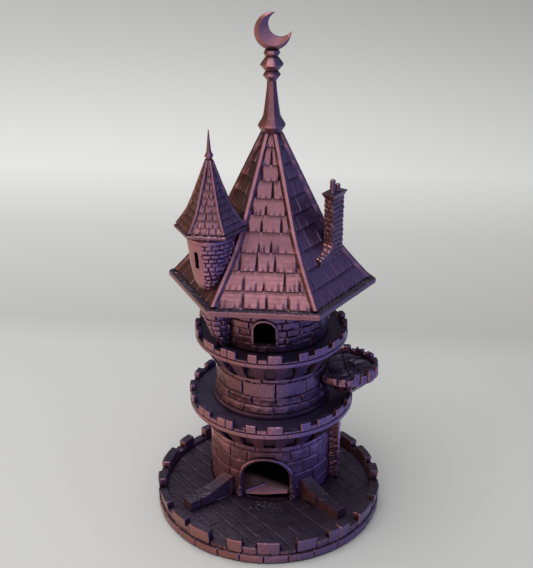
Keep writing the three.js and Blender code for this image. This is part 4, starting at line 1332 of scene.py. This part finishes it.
def light_tone(tree, grain, direction, z, beside, left_painted_shade):
    """Brightness: grain, painted bounce light near the tray with painted side light on walls there, and
    painted shade on slopes that face left.
    """
    sideways, _, upward = direction
    speckle = math_node(tree, "MULTIPLY_ADD", grain, 0.5, 0.75)
    # painted bounce light: the colour is lifted low down, near the tray
    painted_bounce = mapped(tree, z, (0.06, 0.11), (1.12, 1.0))
    # painted side light: walls that face sideways low on the tower are lightened by the beside amount
    aside = math_node(tree, "SUBTRACT", math_node(tree, "ABSOLUTE", sideways), 0.3)
    painted_side_light = math_node(tree, "MULTIPLY_ADD", aside, mapped(tree, z, (0.072, 0.10), (beside, 0.0)), 1.0)
    # painted shade: slopes that face left are darkened
    left = math_node(tree, "MAXIMUM", product(tree, sideways, -1.0), 0.0)
    sloping = math_node(tree, "MAXIMUM", product(tree, upward, 2.4), 0.0)
    left_slope = product(tree, left, math_node(tree, "MINIMUM", sloping, 1.0))
    left_shade_factor = math_node(tree, "MULTIPLY_ADD", left_slope, -left_painted_shade, 1.0)
    return product(tree, speckle, painted_bounce, painted_side_light, left_shade_factor)


def print_lines(tree, where, dent):
    """Fine layer lines, pits and shallow dents."""
    lines = node(tree, "ShaderNodeTexWave", where, Scale=125.0, Distortion=0.6)
    lines.bands_direction = "Z"
    pits = node(tree, "ShaderNodeTexNoise", where, Scale=700.0, Detail=2.0)
    dents = node(tree, "ShaderNodeTexNoise", where, Scale=130.0, Detail=1.5)
    bump = bumped(tree, lines.outputs["Fac"], 0.25, 0.00008)
    bump = bumped(tree, pits.outputs["Fac"], 0.4, 0.00015, bump)
    return bumped(tree, dents.outputs["Fac"], 0.8, dent, bump)


def silk(name, shade=1.0, roughness=0.32, inside=False, dent=0.0006, beside=0.0, reach=0.0035,
         left_painted_shade=0.2, tint=(1, 1, 1)):
    """Two-colour silk print, dark on level faces.

    shade and tint scale the colour, and shade makes brighter or darker copies of the material as painted
    light; dent is the depth of dents and reach the width of the painted shade in crevices, in metres; beside
    paints light on walls that face sideways near the tray, a left shade amount paints shade on slopes that
    face left, and inside darkens what is behind the shadow line of the exit arch."""
    material, tree, shader = new_material(name)
    place = tree.nodes.new("ShaderNodeTexCoord")
    where = place.outputs["Object"]
    direction = axes(tree, place.outputs["Normal"])
    grain = node(tree, "ShaderNodeTexNoise", where, Scale=90.0, Detail=3.0).outputs["Fac"]
    level = level_share(tree, direction[2])
    colour = mixed(tree, level, two_colours(tree, where, direction[0]), LEVEL_COLOUR)
    tone = light_tone(tree, grain, direction, axes(tree, where)[2], beside, left_painted_shade)
    colour = times(tree, worn_edges(tree, colour, reach), product(tree, tone, shade), tint)
    if inside:
        colour = times(tree, colour, arch_shadow(tree, where))
    gloss = math_node(tree, "MULTIPLY_ADD", grain, 0.22, roughness - 0.11)
    gloss = math_node(tree, "ADD", gloss, product(tree, level, 0.14))
    tangent = tree.nodes.new("ShaderNodeTangent")
    tangent.direction_type = "RADIAL"
    tangent.axis = "Z"
    tree.links.new(colour, shader.inputs["Base Color"])
    tree.links.new(gloss, shader.inputs["Roughness"])
    tree.links.new(tangent.outputs[0], shader.inputs["Tangent"])
    tree.links.new(print_lines(tree, where, dent), shader.inputs["Normal"])
    for setting, value in (("Metallic", 0.85), ("Anisotropic", 0.45), ("Anisotropic Rotation", 0.25)):
        shader.inputs[setting].default_value = value
    return material


# ---- Assembly ----

def finished(piece, cad_node, body, material, angle=35):
    """Gives a piece its finish and places it on its body, in the CAD node's stead."""
    piece.data.materials.clear()
    piece.data.materials.append(material)
    piece.data.polygons.foreach_set("use_smooth", [True] * len(piece.data.polygons))
    piece.data.set_sharp_from_angle(angle=math.radians(angle))
    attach(piece, body)
    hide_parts(cad_node)


# Copies of one silk whose shade numbers are painted light: the ramp plate, galleries and turret bricks are
# made brighter than the walls, the bottom storey gets painted side light near the tray, and the main roof
# gets the strongest painted shade on slopes that face left.
SILK_TRAY = silk("silk_tray", 1.12)
COOL = (0.97, 1.0, 1.2)
SILK_KEEP = silk("silk_keep", 1.04, 0.3, beside=1.7, dent=0.0005, tint=COOL)
SILK_WALK = silk("silk_walk", 1.4, 0.3, dent=0.0005, tint=COOL)
SILK_BRICK = silk("silk_brick", 1.8, reach=0.002, tint=COOL)
SILK_PLATE = silk("silk_plate", 2.4, 0.5, inside=True)
SILK_SHINGLE = silk("silk_shingle", 1.25, dent=0.0003, reach=0.006, left_painted_shade=0.75)
SILK_CAP = silk("silk_cap", 1.1, dent=0.0003, reach=0.005)
SILK_CHIMNEY = silk("silk_chimney", 1.2, reach=0.002)
SILK_FINIAL = silk("silk_finial", 1.05)

finished(tray_base(), "tray_base", "tray", SILK_TRAY)
for side, cad_node in ((-1, "guide_wall_left"), (1, "guide_wall_right")):
    finished(guide_wall(cad_node + "_print", side), cad_node, "tray", SILK_TRAY)
for maker, finish in (
    (tower_lower, SILK_KEEP), (arch_surround, SILK_KEEP), (pilaster, SILK_KEEP), (gallery_lower, SILK_WALK),
    (tower_middle, SILK_KEEP), (balcony, SILK_WALK), (gallery_upper, SILK_WALK), (tower_upper, SILK_KEEP),
    (window_frame, SILK_KEEP), (turret_corbel, SILK_WALK),
):
    finished(maker(), maker.__name__, "tower", finish)
finished(roof_shell(), "roof_shell", "roof", SILK_SHINGLE, 30)
finished(turret_roof(), "turret_roof", "roof", SILK_CAP, 30)
finished(turret_body(), "turret_body", "roof", SILK_BRICK)
finished(chimney_stack(), "chimney_stack", "roof", SILK_CHIMNEY)
for cad_node, *shape in (
    ("chimney_pot_tall", -4.7, -1.2, 1.95, 10), ("chimney_pot_short", 2, -1.3, 1.75, 5.4),
):
    finished(chimney_pot(cad_node + "_print", *shape), cad_node, "roof", SILK_KEEP)
finished(turret_spire(), "turret_spire", "roof", SILK_FINIAL, 20)
for maker in (finial_spindle, crescent_moon):
    finished(maker(), maker.__name__, "finial", SILK_FINIAL, 20)

for cad_node in ("exit_ramp", "baffle_lower", "baffle_middle", "baffle_upper"):
    plate = frame["nodes"][cad_node].data
    plate.materials.clear()
    plate.materials.append(SILK_PLATE)


# ---- Stage, light and camera ----

def floor():
    """A wide plain floor of pale paper, a little darker just behind the object, with painted light making it
    brighter to the left.
    """
    side = 3.0
    corners = [(-side, -side, 0), (side, -side, 0), (side, side, 0), (-side, side, 0)]
    mesh = bpy.data.meshes.new("floor")
    mesh.from_pydata(corners, [], [(0, 1, 2, 3)])
    paper = bpy.data.objects.new("floor", mesh)
    bpy.context.scene.collection.objects.link(paper)
    material, tree, shader = new_material("paper")
    x, y, _ = axes(tree, tree.nodes.new("ShaderNodeTexCoord").outputs["Object"])
    colour = ramp(tree, math_node(tree, "MULTIPLY_ADD", y, 1.0, 0.2), [
        (0.0, (0.70, 0.70, 0.69)), (0.43, (0.64, 0.64, 0.63)), (0.49, (0.56, 0.56, 0.545)),
        (0.75, (0.72, 0.72, 0.705)), (1.0, (1.0, 1.0, 0.985)),
    ])
    # painted light: the floor is lightened to the left and darkened to the right, as if lit from the left
    colour = times(tree, colour, math_node(tree, "MULTIPLY_ADD", x, -0.2, 1.0))
    tree.links.new(colour, shader.inputs["Base Color"])
    shader.inputs["Roughness"].default_value = 0.75
    mesh.materials.append(material)


def area_light(name, place, aim, size, power, colour=(1, 1, 1)):
    """A rectangular lamp at a place, turned to what it lights."""
    data = bpy.data.lights.new(name, "AREA")
    data.shape = "RECTANGLE"
    data.size, data.size_y = size
    data.energy = power
    data.color = colour
    light = bpy.data.objects.new(name, data)
    light.location = place
    away = Vector(place) - Vector(aim)
    light.rotation_euler = away.to_track_quat("Z", "Y").to_euler()
    bpy.context.scene.collection.objects.link(light)


def world():
    """Soft light from above and in front; the room is darker near the horizon and behind the object."""
    made = bpy.data.worlds.new("room")
    made.use_nodes = True
    tree = made.node_tree
    sky = tree.nodes["Background"]
    way = tree.nodes.new("ShaderNodeTexCoord").outputs["Generated"]
    x, y, z = axes(tree, way)
    up = math_node(tree, "MULTIPLY_ADD", y, -0.12, z)
    up = math_node(tree, "MULTIPLY_ADD", math_node(tree, "ABSOLUTE", x), 0.2, up)
    colour = ramp(tree, up, [
        (0.12, (0.11, 0.11, 0.112)), (0.36, (0.34, 0.34, 0.34)), (0.6, (0.42, 0.42, 0.42)),
        (0.85, (0.38, 0.38, 0.38)), (1.0, (0.5, 0.5, 0.49)),
    ])
    behind = math_node(tree, "MAXIMUM", y, 0.0)
    colour = times(tree, colour, math_node(tree, "MULTIPLY_ADD", behind, -0.6, 1.0))
    toward = tree.nodes.new("ShaderNodeVectorMath")
    toward.operation = "DOT_PRODUCT"
    tree.links.new(way, toward.inputs[0])
    toward.inputs[1].default_value = (0.05, -0.95, 0.3)
    window = ramp(tree, toward.outputs["Value"], [(0.84, (0, 0, 0)), (0.97, (0.75, 0.75, 0.74))])
    colour = mixed(tree, 1.0, colour, window, "ADD")
    seen = tree.nodes.new("ShaderNodeLightPath").outputs["Is Camera Ray"]
    tree.links.new(mixed(tree, seen, colour, (0.5, 0.5, 0.49)), sky.inputs[0])
    sky.inputs[1].default_value = 1.0
    bpy.context.scene.world = made


def camera():
    """The camera of the photo: behind a long lens, looking down on the tower."""
    data = bpy.data.cameras.new("camera")
    data.sensor_width = CAMERA_SENSOR
    data.lens = CAMERA_LENS
    data.shift_x = CAMERA_SHIFT
    data.clip_end = 20
    made = bpy.data.objects.new("camera", data)
    made.location = CAMERA_PLACE
    made.rotation_euler = (math.radians(90 - CAMERA_DOWN), 0, math.radians(CAMERA_TURN))
    bpy.context.scene.collection.objects.link(made)
    bpy.context.scene.camera = made


floor()
world()
camera()
area_light("overhead", (-0.3, 0.05, 1.5), (0, 0, 0.1), (1.6, 1.2), 14)
area_light("left", (-1.3, -0.6, 0.2), (0, 0, 0.1), (0.5, 0.3), 0.7, (1.0, 0.95, 0.9))
bpy.context.scene.view_settings.view_transform = "Standard"
